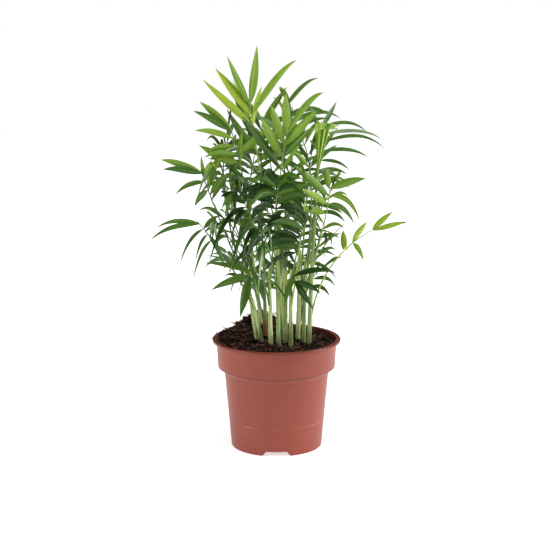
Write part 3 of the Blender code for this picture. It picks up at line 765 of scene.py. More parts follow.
# The fronds behind stand in tiers: the tips' height and reach in millimetres, how many there are, the first
# and last bearings from +X in degrees, the sag, the leaflets' width in millimetres, and two leaf tones.
BACK_TIERS = (
    (170, 46, 5, 22, 160, 0.3, 6.0, "deep", "mid"),
    (206, 58, 6, 10, 172, 0.36, 6.0, "deep", "mid"),
    (246, 56, 6, 20, 164, 0.34, 6.0, "mid", "deep"),
    (282, 44, 5, 30, 156, 0.24, 6.0, "mid", "bright"),
    (312, 22, 2, 60, 120, 0.08, 6.0, "bright", "mid"),
)
BACK_CENTRE = Vector((0, 3 * MM, 0))
BACK_RIB = 40.0 * MM
BACK_LEAF = 50.0 * MM
BACK_PAIRS = 4
BACK_ANGLES = (74, 20)
BACK_SEED = 41
BACK_SCATTER = 0.12
BACK_LEAST_FOOT = 26.0 * MM
BACK_FOOT_RANGE = 34.0 * MM
BACK_TOP_CLEAR = 36.0 * MM
BACK_LEAST_LIFT = 26.0 * MM
OUTER = 30.0 * MM
VIEWER = Vector((0, -1, 0))
BLADE = 1.0 * MM
GAP = 0.3 * MM
BARE_TOP = 4.0 * MM
PETIOLE_WIDTH = 2.6 * MM
RIB_WIDTH = 1.6 * MM
LINE_MARKS = 40
LEAST_BARE = 8
PETIOLE_SPREAD = 0.25
MOST_SPREAD = 11.0 * MM
RIB_SWINGS = (0, 4, -4, 8, -8, 12, -12, 17, -17, 23, -23, 30, -30)
RIB_LIFTS = (0, 5, -5, 10, -10)
FOOT_DROPS = (0, 5, 10, 16, 23, 31)
MATCH = 0.03 * MM


@dataclass
class Frond:
    """The line of one frond: a petiole that leaves its cane upward, and a rib that carries the leaflets."""

    cane: Cane
    foot_height: float
    tip: Vector
    lift: float
    rib_length: float
    pairs: int
    leaf: float
    angles: tuple
    sag: float
    facing: float
    width: float
    tones: list

    def aim(self, tip):
        """Lays the line from the cane to the tip."""
        share = self.cane.share_at(self.foot_height)
        axis = self.cane.at(share)
        self.out = Vector((tip.x - axis.x, tip.y - axis.y, 0)).normalized()
        self.foot = axis + self.out * (self.cane.radius(share) + GAP + BLADE / 2)
        growth = (self.cane.at(share + 0.01) - self.cane.at(share - 0.01)).normalized()
        spread = min(PETIOLE_SPREAD * self.lift, MOST_SPREAD)
        self.bend = self.foot + growth * self.lift + self.out * spread
        self.tip = tip
        self.level_side = Vector((-self.out.y, self.out.x, 0))

    def measure(self):
        """Finds where along the line the leafy rib begins."""
        lengths = [0.0]
        marks = [self.at(i / LINE_MARKS) for i in range(LINE_MARKS + 1)]
        for a, b in zip(marks, marks[1:]):
            lengths.append(lengths[-1] + (b - a).length)
        leafy = lengths[-1] - self.rib_length
        bare = sum(1 for length in lengths if length <= leafy) - 1
        self.leafy_from = max(bare, LEAST_BARE) / LINE_MARKS

    def at(self, share):
        return curve_at(self.foot, self.bend, self.tip, share)

    def along(self, share):
        return ((self.bend - self.foot) * (1 - share) + (self.tip - self.bend) * share).normalized()

    def upper(self, share, bare=0.001):
        """The normal of the blade's upper face, turned to the viewer along the petiole."""
        along = self.along(share)
        own = along.cross(self.level_side)
        to_viewer = VIEWER - along * VIEWER.dot(along)
        turned_by = self.facing * min(1.0, share / bare)
        return (own * (1 - turned_by) + to_viewer.normalized() * turned_by).normalized()

    def half_width(self, share):
        return (PETIOLE_WIDTH + share * (RIB_WIDTH - PETIOLE_WIDTH)) / 2

    def end_corners(self, share):
        """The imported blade's four corners at one end of its strip."""
        upper = self.upper(share) if share else self.along(0).cross(self.level_side).normalized()
        side = upper.cross(self.along(share)) * self.half_width(share)
        lift = upper * (BLADE / 2)
        return [self.at(share) + side * a + lift * b for a in (1, -1) for b in (1, -1)]


class Corners:
    """A node's corners, to ask whether a point is one of them."""

    def __init__(self, name):
        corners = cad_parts[name].data.vertices
        self.tree = KDTree(len(corners))
        for i, corner in enumerate(corners):
            self.tree.insert(corner.co, i)
        self.tree.balance()

    def holds(self, points):
        return all(self.tree.find(point)[2] < MATCH for point in points)

    def distance(self, point):
        return self.tree.find(point)[2]


def follow_blade(frond, corners):
    """Lays the frond where its packed blade lies, which the CAD moved a little to keep the blades apart."""
    aimed = frond.tip
    foot_height = frond.foot_height
    first = frond.cane
    corner_reach = math.hypot(RIB_WIDTH / 2, BLADE / 2)
    for cane in sorted(canes, key=lambda other: (other.top - first.top).length):
        for drop in FOOT_DROPS:
            height = min(foot_height, cane.top.z - BARE_TOP) - drop * MM
            axis = cane.at(cane.share_at(height))
            for lift in RIB_LIFTS:
                for swing in RIB_SWINGS:
                    swung = Matrix.Rotation(math.radians(swing), 3, "Z") @ (aimed - axis) + axis
                    tip = swung + UP * (lift * MM)
                    if abs(corners.distance(tip) - corner_reach) > MATCH:
                        continue
                    frond.cane = cane
                    frond.foot_height = height
                    frond.aim(tip)
                    if corners.holds(frond.end_corners(1) + frond.end_corners(0)):
                        frond.measure()
                        return
    frond.cane = first
    frond.foot_height = min(foot_height, first.top.z - BARE_TOP)
    frond.aim(aimed)
    frond.measure()


def front_fronds():
    for name, row in FRONT_FRONDS.items():
        cane, height, tip, lift, rib, pairs, leaf, first, last, sag, facing, width, *tones = row
        yield f"frond_{name}", Frond(
            canes[cane],
            height * MM,
            Vector(tip) * MM,
            lift * MM,
            rib * MM,
            pairs,
            leaf * MM,
            (first, last),
            sag,
            facing,
            width * MM,
            tones,
        )


def back_fronds():
    """The tiers behind: each frond leaves the cane nearest to its side of the crown."""
    draw = random.Random(BACK_SEED)
    number = 0
    for height, reach, count, first, last, sag, width, *tones in BACK_TIERS:
        for i in range(count):
            bearing = math.radians(first + (last - first) * i / (count - 1) + draw.uniform(-6, 6))
            far = reach * MM * draw.uniform(1 - BACK_SCATTER, 1 + BACK_SCATTER)
            tip = BACK_CENTRE + level(bearing) * far
            tip.z = height * MM + draw.uniform(-9, 9) * MM
            wanted = BACK_CENTRE + (tip - BACK_CENTRE) * 0.45
            cane = min(canes, key=lambda c: (Vector((c.top.x, c.top.y, wanted.z)) - wanted).length)
            top = min(cane.top.z - BARE_TOP, tip.z - BACK_TOP_CLEAR)
            foot_height = max(cane.foot.z + BACK_LEAST_FOOT, top - BACK_FOOT_RANGE * draw.random())
            rise = tip.z - foot_height
            lift = max(0.75 * rise, BACK_LEAST_LIFT) * draw.uniform(0.9, 1.1)
            leaf = BACK_LEAF * draw.uniform(1 - BACK_SCATTER, 1 + BACK_SCATTER)
            if abs(tip.x) > OUTER:
                tones = ["mid", "bright" if tip.x > 0 else "grey"]
            number += 1
            yield f"frond_back_{number:02d}", Frond(
                cane,
                foot_height,
                tip,
                lift,
                BACK_RIB,
                BACK_PAIRS,
                leaf,
                BACK_ANGLES,
                sag,
                0.0,
                width * MM,
                tones,
            )


fronds = dict([*front_fronds(), *back_fronds()])
corners_of = {name: Corners(name) for name in fronds}
for name, frond in fronds.items():
    follow_blade(frond, corners_of[name])


# The petioles and ribs are smooth, firm stalks, paler than the leaflets. A petiole's foot widens into a
# sheath that clasps the cane, and the rib thins towards its tip.
STALK_SIDES = 10
CLASP_LENGTH = 15.0 * MM
CLASP_STEPS = 10
PETIOLE_RADIUS = 1.0 * MM
RIB_ROOT_RADIUS = 0.75 * MM
RIB_TIP_RADIUS = 0.42 * MM
STALK_STEPS = 26
STALK_SEED = 5
PALE_STALKS = (
    "frond_top",
    "frond_bright",
    "frond_far_right",
    "frond_middle",
    "frond_right_front",
    "frond_middle_high",
)


def stalk(frond):
    """The clasping foot, petiole and rib as one tapering tube."""
    cane = frond.cane
    start = max(frond.foot_height - CLASP_LENGTH, cane.foot.z + 3 * MM)
    centres = []
    radii = []
    for i in range(CLASP_STEPS):
        share = i / CLASP_STEPS
        height = start + (frond.foot_height - start) * share
        on_cane = cane.share_at(height)
        smooth = share * share * (3 - 2 * share)
        across = frond.out * (smooth * (cane.radius(on_cane) + BLADE / 2))
        centres.append(cane.at(on_cane) + across)
        wide = CANE_DRAWN * cane.radius(on_cane) * 1.08
        radii.append(wide + (PETIOLE_RADIUS - wide) * smooth)
    radii[0] = CANE_DRAWN * cane.radius(cane.share_at(start)) * 0.9
    for i in range(STALK_STEPS + 1):
        share = i / STALK_STEPS
        centres.append(frond.at(share))
        if share < frond.leafy_from:
            radii.append(PETIOLE_RADIUS + (RIB_ROOT_RADIUS - PETIOLE_RADIUS) * share / frond.leafy_from)
        else:
            leafy = (share - frond.leafy_from) / (1 - frond.leafy_from)
            radii.append(RIB_ROOT_RADIUS + (RIB_TIP_RADIUS - RIB_ROOT_RADIUS) * leafy)
    return hose(centres, radii, STALK_SIDES, 0.85, frond.level_side)


stalks = {"pale": Bundle(), "green": Bundle(), "deep": Bundle()}
draw = random.Random(STALK_SEED)
for name, frond in fronds.items():
    tone = "pale" if name in PALE_STALKS else draw.choice(("green", "green", "deep"))
    stalks[tone].add(*stalk(frond), name)
stalk_finishes = {
    "pale": stem_finish("stalk_pale", seen(150, 172, 84), seen(108, 144, 58), 0.2),
    "green": stem_finish("stalk_green", seen(104, 136, 58), seen(72, 108, 42), 0.2),
    "deep": stem_finish("stalk_deep", seen(72, 100, 46), seen(48, 76, 34), 0.2),
}
for tone, bundle in stalks.items():
    bundle.place(f"stalks_{tone}", stalk_finishes[tone], "cane")


# The leaflets are thin, waxy lances that leave the rib in pairs, each folded along its midrib and pleated
# beside it. They arch over to a long point, which is dry on a few. They are joined into pieces by tone.
LEAF_SEED = 23
LEAF_STATIONS = 14
LEAF_COLUMNS = (-1.0, -0.72, -0.4, 0.0, 0.4, 0.72, 1.0)
LEAF_THICKNESS = 0.22 * MM
LEAF_WIDTH_SPREAD = 0.15
LEAF_LEAST = 0.8
LEAF_STRAY = 13.0
SAG_STRAY = 0.1
ARC_NARROWER = 0.35
OPEN_SHARES = (1.0, 0.85, 0.7, 0.55)
LEAF_FOLD = 0.42
WIDEST_AT = 0.4
LEAF_PLEAT = 0.09
LEAF_DROOP = 0.35
DRY_SHARE = 0.015
DRY_TIPS = (("frond_low_left", 3, 1), ("frond_low_left", 3, -1), ("frond_far_right", 3, -1))
HANG = {
    "frond_middle": 0.3,
    "frond_middle_low": 0.4,
    "frond_middle_left": 0.35,
    "frond_middle_right": 0.34,
}
FULLER = (
    "frond_left",
    "frond_left_arch",
    "frond_low_left",
    "frond_middle",
    "frond_middle_left",
    "frond_middle_low",
    "frond_middle_right",
    "frond_middle_high",
)
SPEAR_CANE = 10
CLEAR_COLUMNS = 2.6
DRY_FROM = 0.87
PLEAT_LINES = 18
MAIN_TONE_SHARE = 0.7
LEAF_VEE = math.radians(14)
LEAF_TURNS = (0, 6, -6, 12, -12, 19, -19, 27)
LEAF_SAGS = (0, 0.14, -0.14, 0.28, -0.28)
LEAF_SHARES = (1.0, 0.85, 0.7, 0.5, 0.35, 0.2)
# The tips of leaflets that stand out against the background: frond, then pair and side, with the tip's
# column and row in the photo's frame, its depth in millimetres and how far the leaflet arches. A leaflet
# that is None isn't drawn.
SHOWN = {
    "top": {
        (3, -1): (257, 45, -4, 0.0),
        (3, 1): (227, 55.5, -8, 0.03),
        (2, 1): (215, 68, -2, 0.04),
        (1, 1): (202, 79, -8, 0.0),
        (0, 1): (231.5, 78.5, 14, 0.06),
        (2, -1): (297, 60, 2, 0.26),
        (1, -1): (262, 86, 24, 0.05),
        (0, -1): None,
    },
    "bright": {
        (0, 1): (242, 115.4, -52, 0.04),
        (1, 1): (261, 118.4, -56, 0.03),
        (2, 1): (270.7, 105, -50, 0.05),
        (3, 1): (285.8, 92.8, -44, 0.03),
        (3, -1): (324, 92.8, -40, 0.4),
        (2, -1): (318, 110, -58, 0.12),
        (1, -1): (313, 127, -50, 0.12),
        (0, -1): (300, 146, -66, 0.2),
    },
    "upper_right": {
        (4, -1): (318.5, 78.5, 14, 0.42),
        (4, 1): (286, 97, 20, 0.05),
        (3, -1): (325.6, 112, 18, 0.4),
        (3, 1): (274, 122, 10, 0.1),
        (2, -1): (341, 119, 24, 0.5),
        (2, 1): (262, 140, 4, 0.1),
    },
    "right_arch": {
        (5, 1): (336.5, 101.7, 6, 0.0),
        (4, 1): (310, 106, 4, 0.1),
        (3, 1): None,
        (2, 1): (309, 140, 10, 0.1),
        (1, 1): None,
        (0, 1): None,
        (5, -1): (367, 132.4, 6, 0.5),
        (4, -1): (383, 140, -2, 0.34),
        (3, -1): (385.8, 149.7, 8, 0.5),
        (2, -1): (369, 158, 2, 0.34),
        (1, -1): (350, 170.8, 0, 0.4),
        (0, -1): (337, 176, 0, 0.16),
    },
    "right_front": {
        (3, -1): (366, 178.5, -26, 0.10),
        (3, 1): (325.6, 168, -22, 0.1),
        (2, -1): (360.2, 222, -22, 0.75),
        (2, 1): (293, 165, -34, 0.05),
        (1, -1): (354.5, 224.7, -14, 0.6),
        (1, 1): (302, 190, -36, 0.1),
        (0, -1): None,
        (0, 1): (298, 208, -30, 0.1),
    },
    "far_right": {
        (3, -1): (407, 222, -18, 0.08),
        (3, 1): (392.5, 211.8, -14, 0.05),
        (2, -1): None,
        (2, 1): None,
        (1, -1): (363.7, 261.8, -20, 0.55),
        (1, 1): (367.5, 221.5, -18, 0.05),
        (0, -1): (346, 246, -22, 0.3),
        (0, 1): (343, 230.4, -6, 0.2),
    },
    "left": {
        (3, -1): (160, 159.7, -8, 0.14),
        (3, 1): (162.5, 169.6, -14, 0.16),
        (2, 1): (175.4, 195, -18, 0.4),
        (2, -1): (201, 154.6, -4, 0.2),
        (1, 1): (194.6, 206.6, -22, 0.3),
        (0, 1): (218, 212, -26, 0.25),
    },
    "upper_left": {
        (4, 1): (193, 111, -2, 0.1),
        (4, -1): (199.5, 102, 8, 0.14),
        (3, 1): (194.4, 131, -10, 0.22),
        (3, -1): None,
        (2, 1): (206, 152, -10, 0.2),
        (2, -1): (236, 134, 4, 0.1),
        (1, 1): (204, 158, -18, 0.3),
    },
    "low_left": {
        (3, -1): (157, 227.7, -22, 0.36),
        (3, 1): (150, 240.5, -26, 0.34),
        (2, 1): (179.5, 265.5, -30, 0.6),
        (2, -1): (219, 216, -12, 0.3),
        (1, 1): (195.3, 262.5, -34, 0.6),
        (1, -1): (226, 272, -20, 0.4),
        (0, 1): (193, 280.6, -36, 0.6),
    },
    "foot_left": {
        (2, 1): (211, 290.3, -50, 0.12),
        (2, -1): (239.7, 318, -56, 0.08),
        (1, 1): (203, 263, -44, 0.08),
        (1, -1): (266, 309, -58, 0.2),
        (0, 1): None,
        (0, -1): (286.5, 300.8, -56, 0.25),
    },
    "foot_right": {
        (2, -1): (321, 294, -54, 0.2),
        (2, 1): (314, 310.6, -62, 0.12),
        (1, -1): (336.5, 273.3, -50, 0.24),
        (1, 1): (284, 309, -62, 0.16),
        (0, -1): None,
        (0, 1): None,
    },
}
# Where the crown's back fronds may show from the front, as columns and rows of the photo's frame. Past this
# outline the photo shows open background.
CROWN_OUTLINE = (
    (232, 92), (262, 92), (288, 84), (318, 96), (330, 118), (350, 132), (362, 146), (346, 168),
    (350, 190), (346, 214), (340, 240), (342, 266), (330, 292), (314, 306), (250, 306), (226, 288),
    (204, 272), (200, 246), (206, 222), (198, 200), (202, 176), (206, 150), (202, 128), (214, 104),
)
CAMERA_PLACE = Vector((0, -1.30, 0.419))
CAMERA_PITCH = math.radians(90 - 11.22)
CAMERA_LENS = 92.8
SENSOR_WIDTH = 36
PHOTO_SIDE = 553
FOCAL = CAMERA_LENS / SENSOR_WIDTH * PHOTO_SIDE


def seen_at(column, row, depth):
    """The point that far back which the photo's camera sees at a column and row."""
    ray = Vector(((column - PHOTO_SIDE / 2) / FOCAL, (PHOTO_SIDE / 2 - row) / FOCAL, -1))
    ray = Matrix.Rotation(CAMERA_PITCH, 3, "X") @ ray
    return CAMERA_PLACE + ray * ((depth - CAMERA_PLACE.y) / ray.y)


def in_photo(point):
    """The column and row at which the photo's camera sees a point."""
    ray = Matrix.Rotation(-CAMERA_PITCH, 3, "X") @ (point - CAMERA_PLACE)
    return PHOTO_SIDE / 2 - FOCAL * ray.x / ray.z, PHOTO_SIDE / 2 + FOCAL * ray.y / ray.z


def open_background(point):
    """Whether the photo's camera sees the point outside the crown's outline."""
    column, row = in_photo(point)
    inside = False
    for (x0, y0), (x1, y1) in zip(CROWN_OUTLINE, CROWN_OUTLINE[1:] + CROWN_OUTLINE[:1]):
        if (y0 > row) != (y1 > row) and column < x0 + (x1 - x0) * (row - y0) / (y1 - y0):
            inside = not inside
    return not inside


class Leaflet:
    """One leaflet's place: where it leaves the rib, its direction, its length and how it sags."""

    def __init__(self, frond, index, hand, turn=0.0, more_sag=0.0, share=1.0):
        step = (1 - frond.leafy_from) / frond.pairs
        on_rib = frond.leafy_from + step * (index + 0.5)
        reach = (index + 0.5) / frond.pairs
        first, last = frond.angles
        angle = math.radians(first + (last - first) * reach + turn)
        self.hand = hand
        self.reach = reach
        self.along = frond.along(on_rib)
        self.normal = frond.upper(on_rib)
        side = self.normal.cross(self.along) * hand
        outward = side * math.cos(LEAF_VEE) + self.normal * math.sin(LEAF_VEE)
        self.direction = self.along * math.cos(angle) + outward * math.sin(angle)
        self.root = frond.at(on_rib)
        self.origin = self.root + side * frond.half_width(on_rib)
        self.length = frond.leaf * share * (0.78 + 0.88 * reach * (1 - reach))
        self.whole = self.length / share
        self.sag = frond.sag + more_sag

    def at(self, share):
        sunk = UP * (self.sag * self.length * share * share)
        return self.origin + self.direction * (self.length * share) - sunk

    def tip_corners(self):
        """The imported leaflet's two corners at its tip."""
        heading = (self.at(1.01) - self.at(1)).normalized()
        across = (self.along - heading * self.along.dot(heading)).normalized()
        lift = heading.cross(across) * (BLADE / 2)
        return [self.at(1) + lift, self.at(1) - lift]


def follow_leaflet(frond, index, hand, corners):
    """The leaflet as it was packed: turned, raised, lowered or cut shorter to keep clear of others."""
    moves = sorted(
        ((turn, sag) for turn in LEAF_TURNS for sag in LEAF_SAGS),
        key=lambda move: abs(move[0]) / 10 + abs(move[1]) * 6,
    )
    for share in LEAF_SHARES:
        for turn, sag in moves:
            leaflet = Leaflet(frond, index, hand, turn, sag, share)
            if corners.holds(leaflet.tip_corners()):
                return leaflet
    return Leaflet(frond, index, hand, 0, 0, LEAF_SHARES[2])


def lance_width(share):
    """A leaflet's width along its length, as a share of its widest: narrow at the rib, long-pointed."""
    if share < WIDEST_AT:
        return 0.14 + 0.86 * (1 - (1 - share / WIDEST_AT) ** 2.2)
    return 1 - ((share - WIDEST_AT) / (1 - WIDEST_AT)) ** 1.9


class Bow:
    """The line of a drawn leaflet, with its directions across and up at each place."""

    def __init__(self, leaflet, draw, shown=None):
        self.origin = leaflet.root.lerp(leaflet.origin, 0.5)
        self.direction = self.strayed(leaflet, draw)
        self.along = leaflet.along
        self.hand = leaflet.hand
        self.length = max(leaflet.length, leaflet.whole * LEAF_LEAST) * draw.uniform(0.9, 1.08)
        self.sag = leaflet.sag + draw.gauss(0, SAG_STRAY)
        self.droop = (0.02 + LEAF_DROOP * self.sag) * draw.uniform(0.4, 1.6)
        self.sideways = draw.uniform(-0.10, 0.04)
        self.twist = math.radians(draw.uniform(-50, 50))
        if shown:
            column, row, depth, arch = shown
            reach = seen_at(column, row, depth * MM) - self.origin
            self.length = reach.length
            self.direction = reach / self.length + UP * arch
            self.sag = 0.6 * arch
            self.droop = 0.4 * arch
            self.sideways = 0
            self.twist *= 0.4

    def strayed(self, leaflet, draw):
        """The leaflet's direction, turned a few degrees any way, as no two grow quite alike."""
        turn = Quaternion(leaflet.normal, math.radians(draw.gauss(0, LEAF_STRAY)))
        lift = Quaternion(leaflet.along, math.radians(draw.gauss(0, LEAF_STRAY)))
        return turn @ (lift @ leaflet.direction)

    def at(self, share):
        run = self.length * share
        sunk = UP * (self.length * (self.sag * share**2 + self.droop * share**4))
        aside = self.along * (self.sideways * self.length * share**2)
        return self.origin + self.direction * run - sunk + aside

    def axes(self, share):
        heading = (self.at(share + 0.01) - self.at(share - 0.01)).normalized()
        across = (self.along - heading * self.along.dot(heading)).normalized()
        across = Quaternion(heading, self.twist * share) @ across
        return across, heading.cross(across) * -self.hand


def lance(bow, width, start=0.0, spare=0.0):
    """A thin closed sheet along the bow from start to the tip, and how far across it each point is."""
    count = len(LEAF_COLUMNS)
    points = []
    across_each = []
    rows = []
    for i in range(LEAF_STATIONS):
        share = start + (1 - start) * (1 - (1 - i / LEAF_STATIONS) ** 1.25)
        across, normal = bow.axes(share)
        centre = bow.at(share)
        half = width * lance_width(share) / 2 + spare
        thick = (LEAF_THICKNESS / 2 + spare) * (1.6 - share)
        upper = []
        lower = []
        for u in LEAF_COLUMNS:
            pleat = LEAF_PLEAT * (1 - abs(2 * abs(u) - 1))
            spot = centre + across * (u * half) + normal * (half * (pleat - LEAF_FOLD * abs(u)))
            if abs(u) == 1:
                upper.append(len(points))
                lower.append(len(points))
                points.append(spot)
                across_each.append(u)
                continue
            upper.append(len(points))
            points.append(spot + normal * thick)
            lower.append(len(points))
            points.append(spot - normal * thick)
            across_each += [u, u]
        rows.append((upper, lower))
    tip = len(points)
    points.append(bow.at(1.0))
    across_each.append(0.0)
    faces = []
    for (upper, lower), (next_upper, next_lower) in zip(rows, rows[1:]):
        for k in range(count - 1):
            faces.append((upper[k], upper[k + 1], next_upper[k + 1], next_upper[k]))
            faces.append((lower[k + 1], lower[k], next_lower[k], next_lower[k + 1]))
    upper, lower = rows[-1]
    for k in range(count - 1):
        faces.append((upper[k], upper[k + 1], tip))
        faces.append((lower[k + 1], lower[k], tip))
    upper, lower = rows[0]
    for k in range(count - 1):
        faces.append(tuple(dict.fromkeys((upper[k + 1], upper[k], lower[k], lower[k + 1]))))
    return points, faces if bow.hand == -1 else [face[::-1] for face in faces], across_each


def leaf_finish(name, main, second, line, gloss, shine):
    """A waxy leaf: two clouded tones that differ from leaflet to leaflet, with a paler midrib and pleats."""
    leaf = Finish(name, {"Specular IOR Level": shine})
    across = leaf.node("ShaderNodeAttribute", {"attribute_name": "across"}, {}, "Fac")
    tint = leaf.node("ShaderNodeAttribute", {"attribute_name": "tint"}, {}, "Fac")
    midrib = 1 - abs(across).between(0.02, 0.12)
    waves = across * PLEAT_LINES
    pleats = waves.math("COSINE", waves).between(0.3, 1.0)
    clouds = leaf.noise(16 * MM, 2)
    fine = leaf.noise(1.1 * MM, 3, 0.6)
    colour = leaf.blend(tint * 0.75 + clouds.between(0.35, 0.65) * 0.25, main, second)
    colour = leaf.blend(pleats * 0.10 + fine.between(0.5, 0.8) * 0.08, colour, line)
    leaf.set("Base Color", leaf.blend(midrib * 0.4, colour, line))
    leaf.set("Roughness", gloss + fine * 0.12 + pleats * 0.04)
    leaf.raise_by(0.02 * MM, fine * 0.2 + pleats * 0.8)
    return leaf


# Two tones stand partly for light. "deep", given to the fronds in the crown's middle and to the low tiers
# behind, is darker partly as painted shade inside the crown. The grey-green tone of the arching fronds is
# partly painted sheen and partly their paler undersides.
LEAF_TONES = {
    "lime": ((150, 176, 38), (122, 152, 26), (184, 202, 88), 0.36, 0.32),
    "bright": ((120, 152, 32), (82, 122, 18), (156, 182, 78), 0.34, 0.34),
    "mid": ((78, 116, 22), (40, 80, 12), (122, 152, 66), 0.32, 0.32),
    "deep": ((38, 74, 12), (14, 40, 4), (78, 110, 46), 0.30, 0.26),
    "grey": ((118, 148, 94), (78, 114, 58), (164, 186, 146), 0.28, 0.5),
    "dry": ((118, 96, 58), (82, 64, 40), (150, 124, 80), 0.7, 0.2),
}
leaf_finishes = {
    tone: leaf_finish(f"leaf_{tone}", seen(*main), seen(*second), seen(*line), gloss, shine)
    for tone, (main, second, line, gloss, shine) in LEAF_TONES.items()
}
leaves = {tone: Bundle() for tone in leaf_finishes}
marks = {tone: [] for tone in leaf_finishes}


def grow(tone, name, bow, width, tint, start=0.0, spare=0.0):
    """Adds one leaflet to its tone's piece, with its marks: how far across each point is, and its tint."""
    points, faces, across = lance(bow, width, start, spare)
    leaves[tone].add(points, faces, name)
    marks[tone] += [(u, tint) for u in across]


def hides_spear_cane(bow):
    """Whether the leaflet would cross in front of the spear's cane, which the photo shows clear."""
    cane = canes[SPEAR_CANE]
    for step in range(2, 11):
        point = bow.at(step / 10)
        share = cane.share_at(point.z)
        if not 0.1 < share < 1:
            continue
        behind = cane.at(share)
        if point.y < behind.y and abs(in_photo(point)[0] - in_photo(behind)[0]) < CLEAR_COLUMNS:
            return True
    return False


def room_for(bow):
    """Shortens a leaflet until it shows inside the crown's outline. Gives whether it may grow at all."""
    whole = bow.length
    for share in OPEN_SHARES:
        bow.length = whole * share
        if not open_background(bow.at(0.9)):
            return not hides_spear_cane(bow)
    return False


draw = random.Random(LEAF_SEED)
for name, frond in fronds.items():
    shown = SHOWN.get(name.removeprefix("frond_"), {})
    for index in range(frond.pairs):
        for hand in (1, -1):
            leaflet = follow_leaflet(frond, index, hand, corners_of[name])
            place_shown = shown.get((index, hand), ())
            leaflet.sag += HANG.get(name, 0)
            bow = Bow(leaflet, draw, place_shown)
            width = frond.width * draw.uniform(1 - LEAF_WIDTH_SPREAD, 1 + LEAF_WIDTH_SPREAD)
            width *= 1 - ARC_NARROWER * min(1.0, (bow.sag + bow.droop) / 0.6)
            tone = frond.tones[0] if draw.random() < MAIN_TONE_SHARE else frond.tones[1]
            tint = draw.random()
            dry = draw.random() < DRY_SHARE
            if place_shown is None:
                continue
            if not shown and not room_for(bow):
                continue
            dry = dry or (name, index, hand) in DRY_TIPS
            grow(tone, name, bow, width, tint)
            if dry:
                grow("dry", name, bow, width, tint, DRY_FROM, 0.06 * MM)
for name in FULLER:
    frond = fronds[name]
    for index in range(frond.pairs - 1):
        for hand in (1, -1):
            leaflet = Leaflet(frond, index + 0.5, hand, 0, draw.uniform(0, 0.3), draw.uniform(0.75, 1))
            bow = Bow(leaflet, draw)
            width = frond.width * draw.uniform(0.8, 1)
            if room_for(bow):
                grow(draw.choice(frond.tones), name, bow, width, draw.random())
for tone, bundle in leaves.items():
    slot = "young_leaf" if tone in ("lime", "bright") else "leaf"
    piece = bundle.place(f"leaflets_{tone}", leaf_finishes[tone], slot, 50)
    for number, mark in enumerate(("across", "tint")):
        attribute = piece.data.attributes.new(mark, "FLOAT", "POINT")
        attribute.data.foreach_set("value", [pair[number] for pair in marks[tone]])


# The spear is the next leaf, still furled: a pleated lime fan on the tallest cane, narrow at its foot. Its
# torn top lies folded across it, with a deeper green lining and three upright points.
SPEAR_PLEATS = 3
SPEAR_ROWS = 28
SPEAR_COLUMNS = 32
SPEAR_SHEET = 0.35 * MM
SPEAR_HALF = 7.2 * MM
SPEAR_FOOT_HALF = 1.1 * MM
SPEAR_SEED = 3
FOLD_ROWS = 10
FOLD_COLUMNS = 24
spear_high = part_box("spear")[1]
spear_foot = canes[SPEAR_CANE].top + UP * GAP
spear_top = Vector((spear_foot.x + 5 * MM, spear_foot.y - 2 * MM, spear_high.z - 1 * MM))


def thin_sheet(middle, rows, columns):
    """A closed sheet that faces forward, from the rows of points in its middle layer."""
    width = columns + 1
    count = len(middle)
    points = [p + Vector((0, -SPEAR_SHEET / 2, 0)) for p in middle]
    points += [p + Vector((0, SPEAR_SHEET / 2, 0)) for p in middle]
    faces = []
    for row in range(rows):
        for column in range(columns):
            a = row * width + column
            faces.append((a, a + 1, a + width + 1, a + width))
    faces += [tuple(count + i for i in face[::-1]) for face in faces]
    edges = {(face[i - 1], face[i]) for face in faces[: rows * columns] for i in range(4)}
    for a, b in sorted(edges):
        if (b, a) not in edges:
            faces.append((b, a, count + a, count + b))
    return points, faces


def furled_fan():
    """The fan: its pleats open out towards the top, whose edge is ragged."""
    draw = random.Random(SPEAR_SEED)
    ragged = [draw.uniform(-1, 0.6) for _ in range(SPEAR_COLUMNS + 1)]
    outer = []
    for row in range(SPEAR_ROWS + 1):
        share = row / SPEAR_ROWS
        half = SPEAR_FOOT_HALF + (SPEAR_HALF - SPEAR_FOOT_HALF) * share**1.25
        deep = (0.6 + 1.8 * share) * MM
        for column in range(SPEAR_COLUMNS + 1):
            u = 2 * column / SPEAR_COLUMNS - 1
            pleat = math.cos(math.pi * SPEAR_PLEATS * u + 0.6)
            curl = 1.6 * deep * u * u
            height = share + 0.025 * ragged[column] * share**8
            middle = spear_foot.lerp(spear_top, height)
            outer.append(middle + Vector((u * half, curl + 0.8 * deep * pleat, 0)))
    return thin_sheet(outer, SPEAR_ROWS, SPEAR_COLUMNS)


def folded_top(first, last, tails, proud):
    """A stretch of the torn top, which lies folded across the fan, its edges rolled and its end in tails."""
    middle = []
    for row in range(FOLD_ROWS + 1):
        v = 2 * row / FOLD_ROWS - 1
        for column in range(FOLD_COLUMNS + 1):
            share = column / FOLD_COLUMNS
            u = first + (last - first) * share
            half = (3.3 - 1.0 * u) * (1 + 0.05 * math.sin(9 * u))
            tail = tails * max(0.0, share - 0.6) * math.cos(2 * math.pi * v) * 5
            hanging = max(0.0, 0.22 - u) * (1 - v) * 8
            x = -7.5 + 19.5 * u + 0.7 * v - tail
            y = -2.2 - 1.7 * math.sin(math.pi * min(u, 1)) + 0.9 * v * v - proud
            z = -1.8 + 0.9 * math.sin(3 * u) + half * v - hanging
            middle.append(spear_top + Vector((x, y, z)) * MM)
    return thin_sheet(middle, FOLD_ROWS, FOLD_COLUMNS)


def torn_point(start, bend, end, half):
    """One upright point of the torn top: flat, bent, and tapered to its end."""
    start, bend, end = (spear_top + Vector(spot) * MM for spot in (start, bend, end))
    centres = []
    radii = []
    for k in range(11):
        share = k / 10
        centres.append(curve_at(start, bend, end, share))
        radii.append(half * MM * (1 - 0.88 * share**1.6))
    return hose(centres, radii, 10, 0.16, Vector((1, 0, 0)))


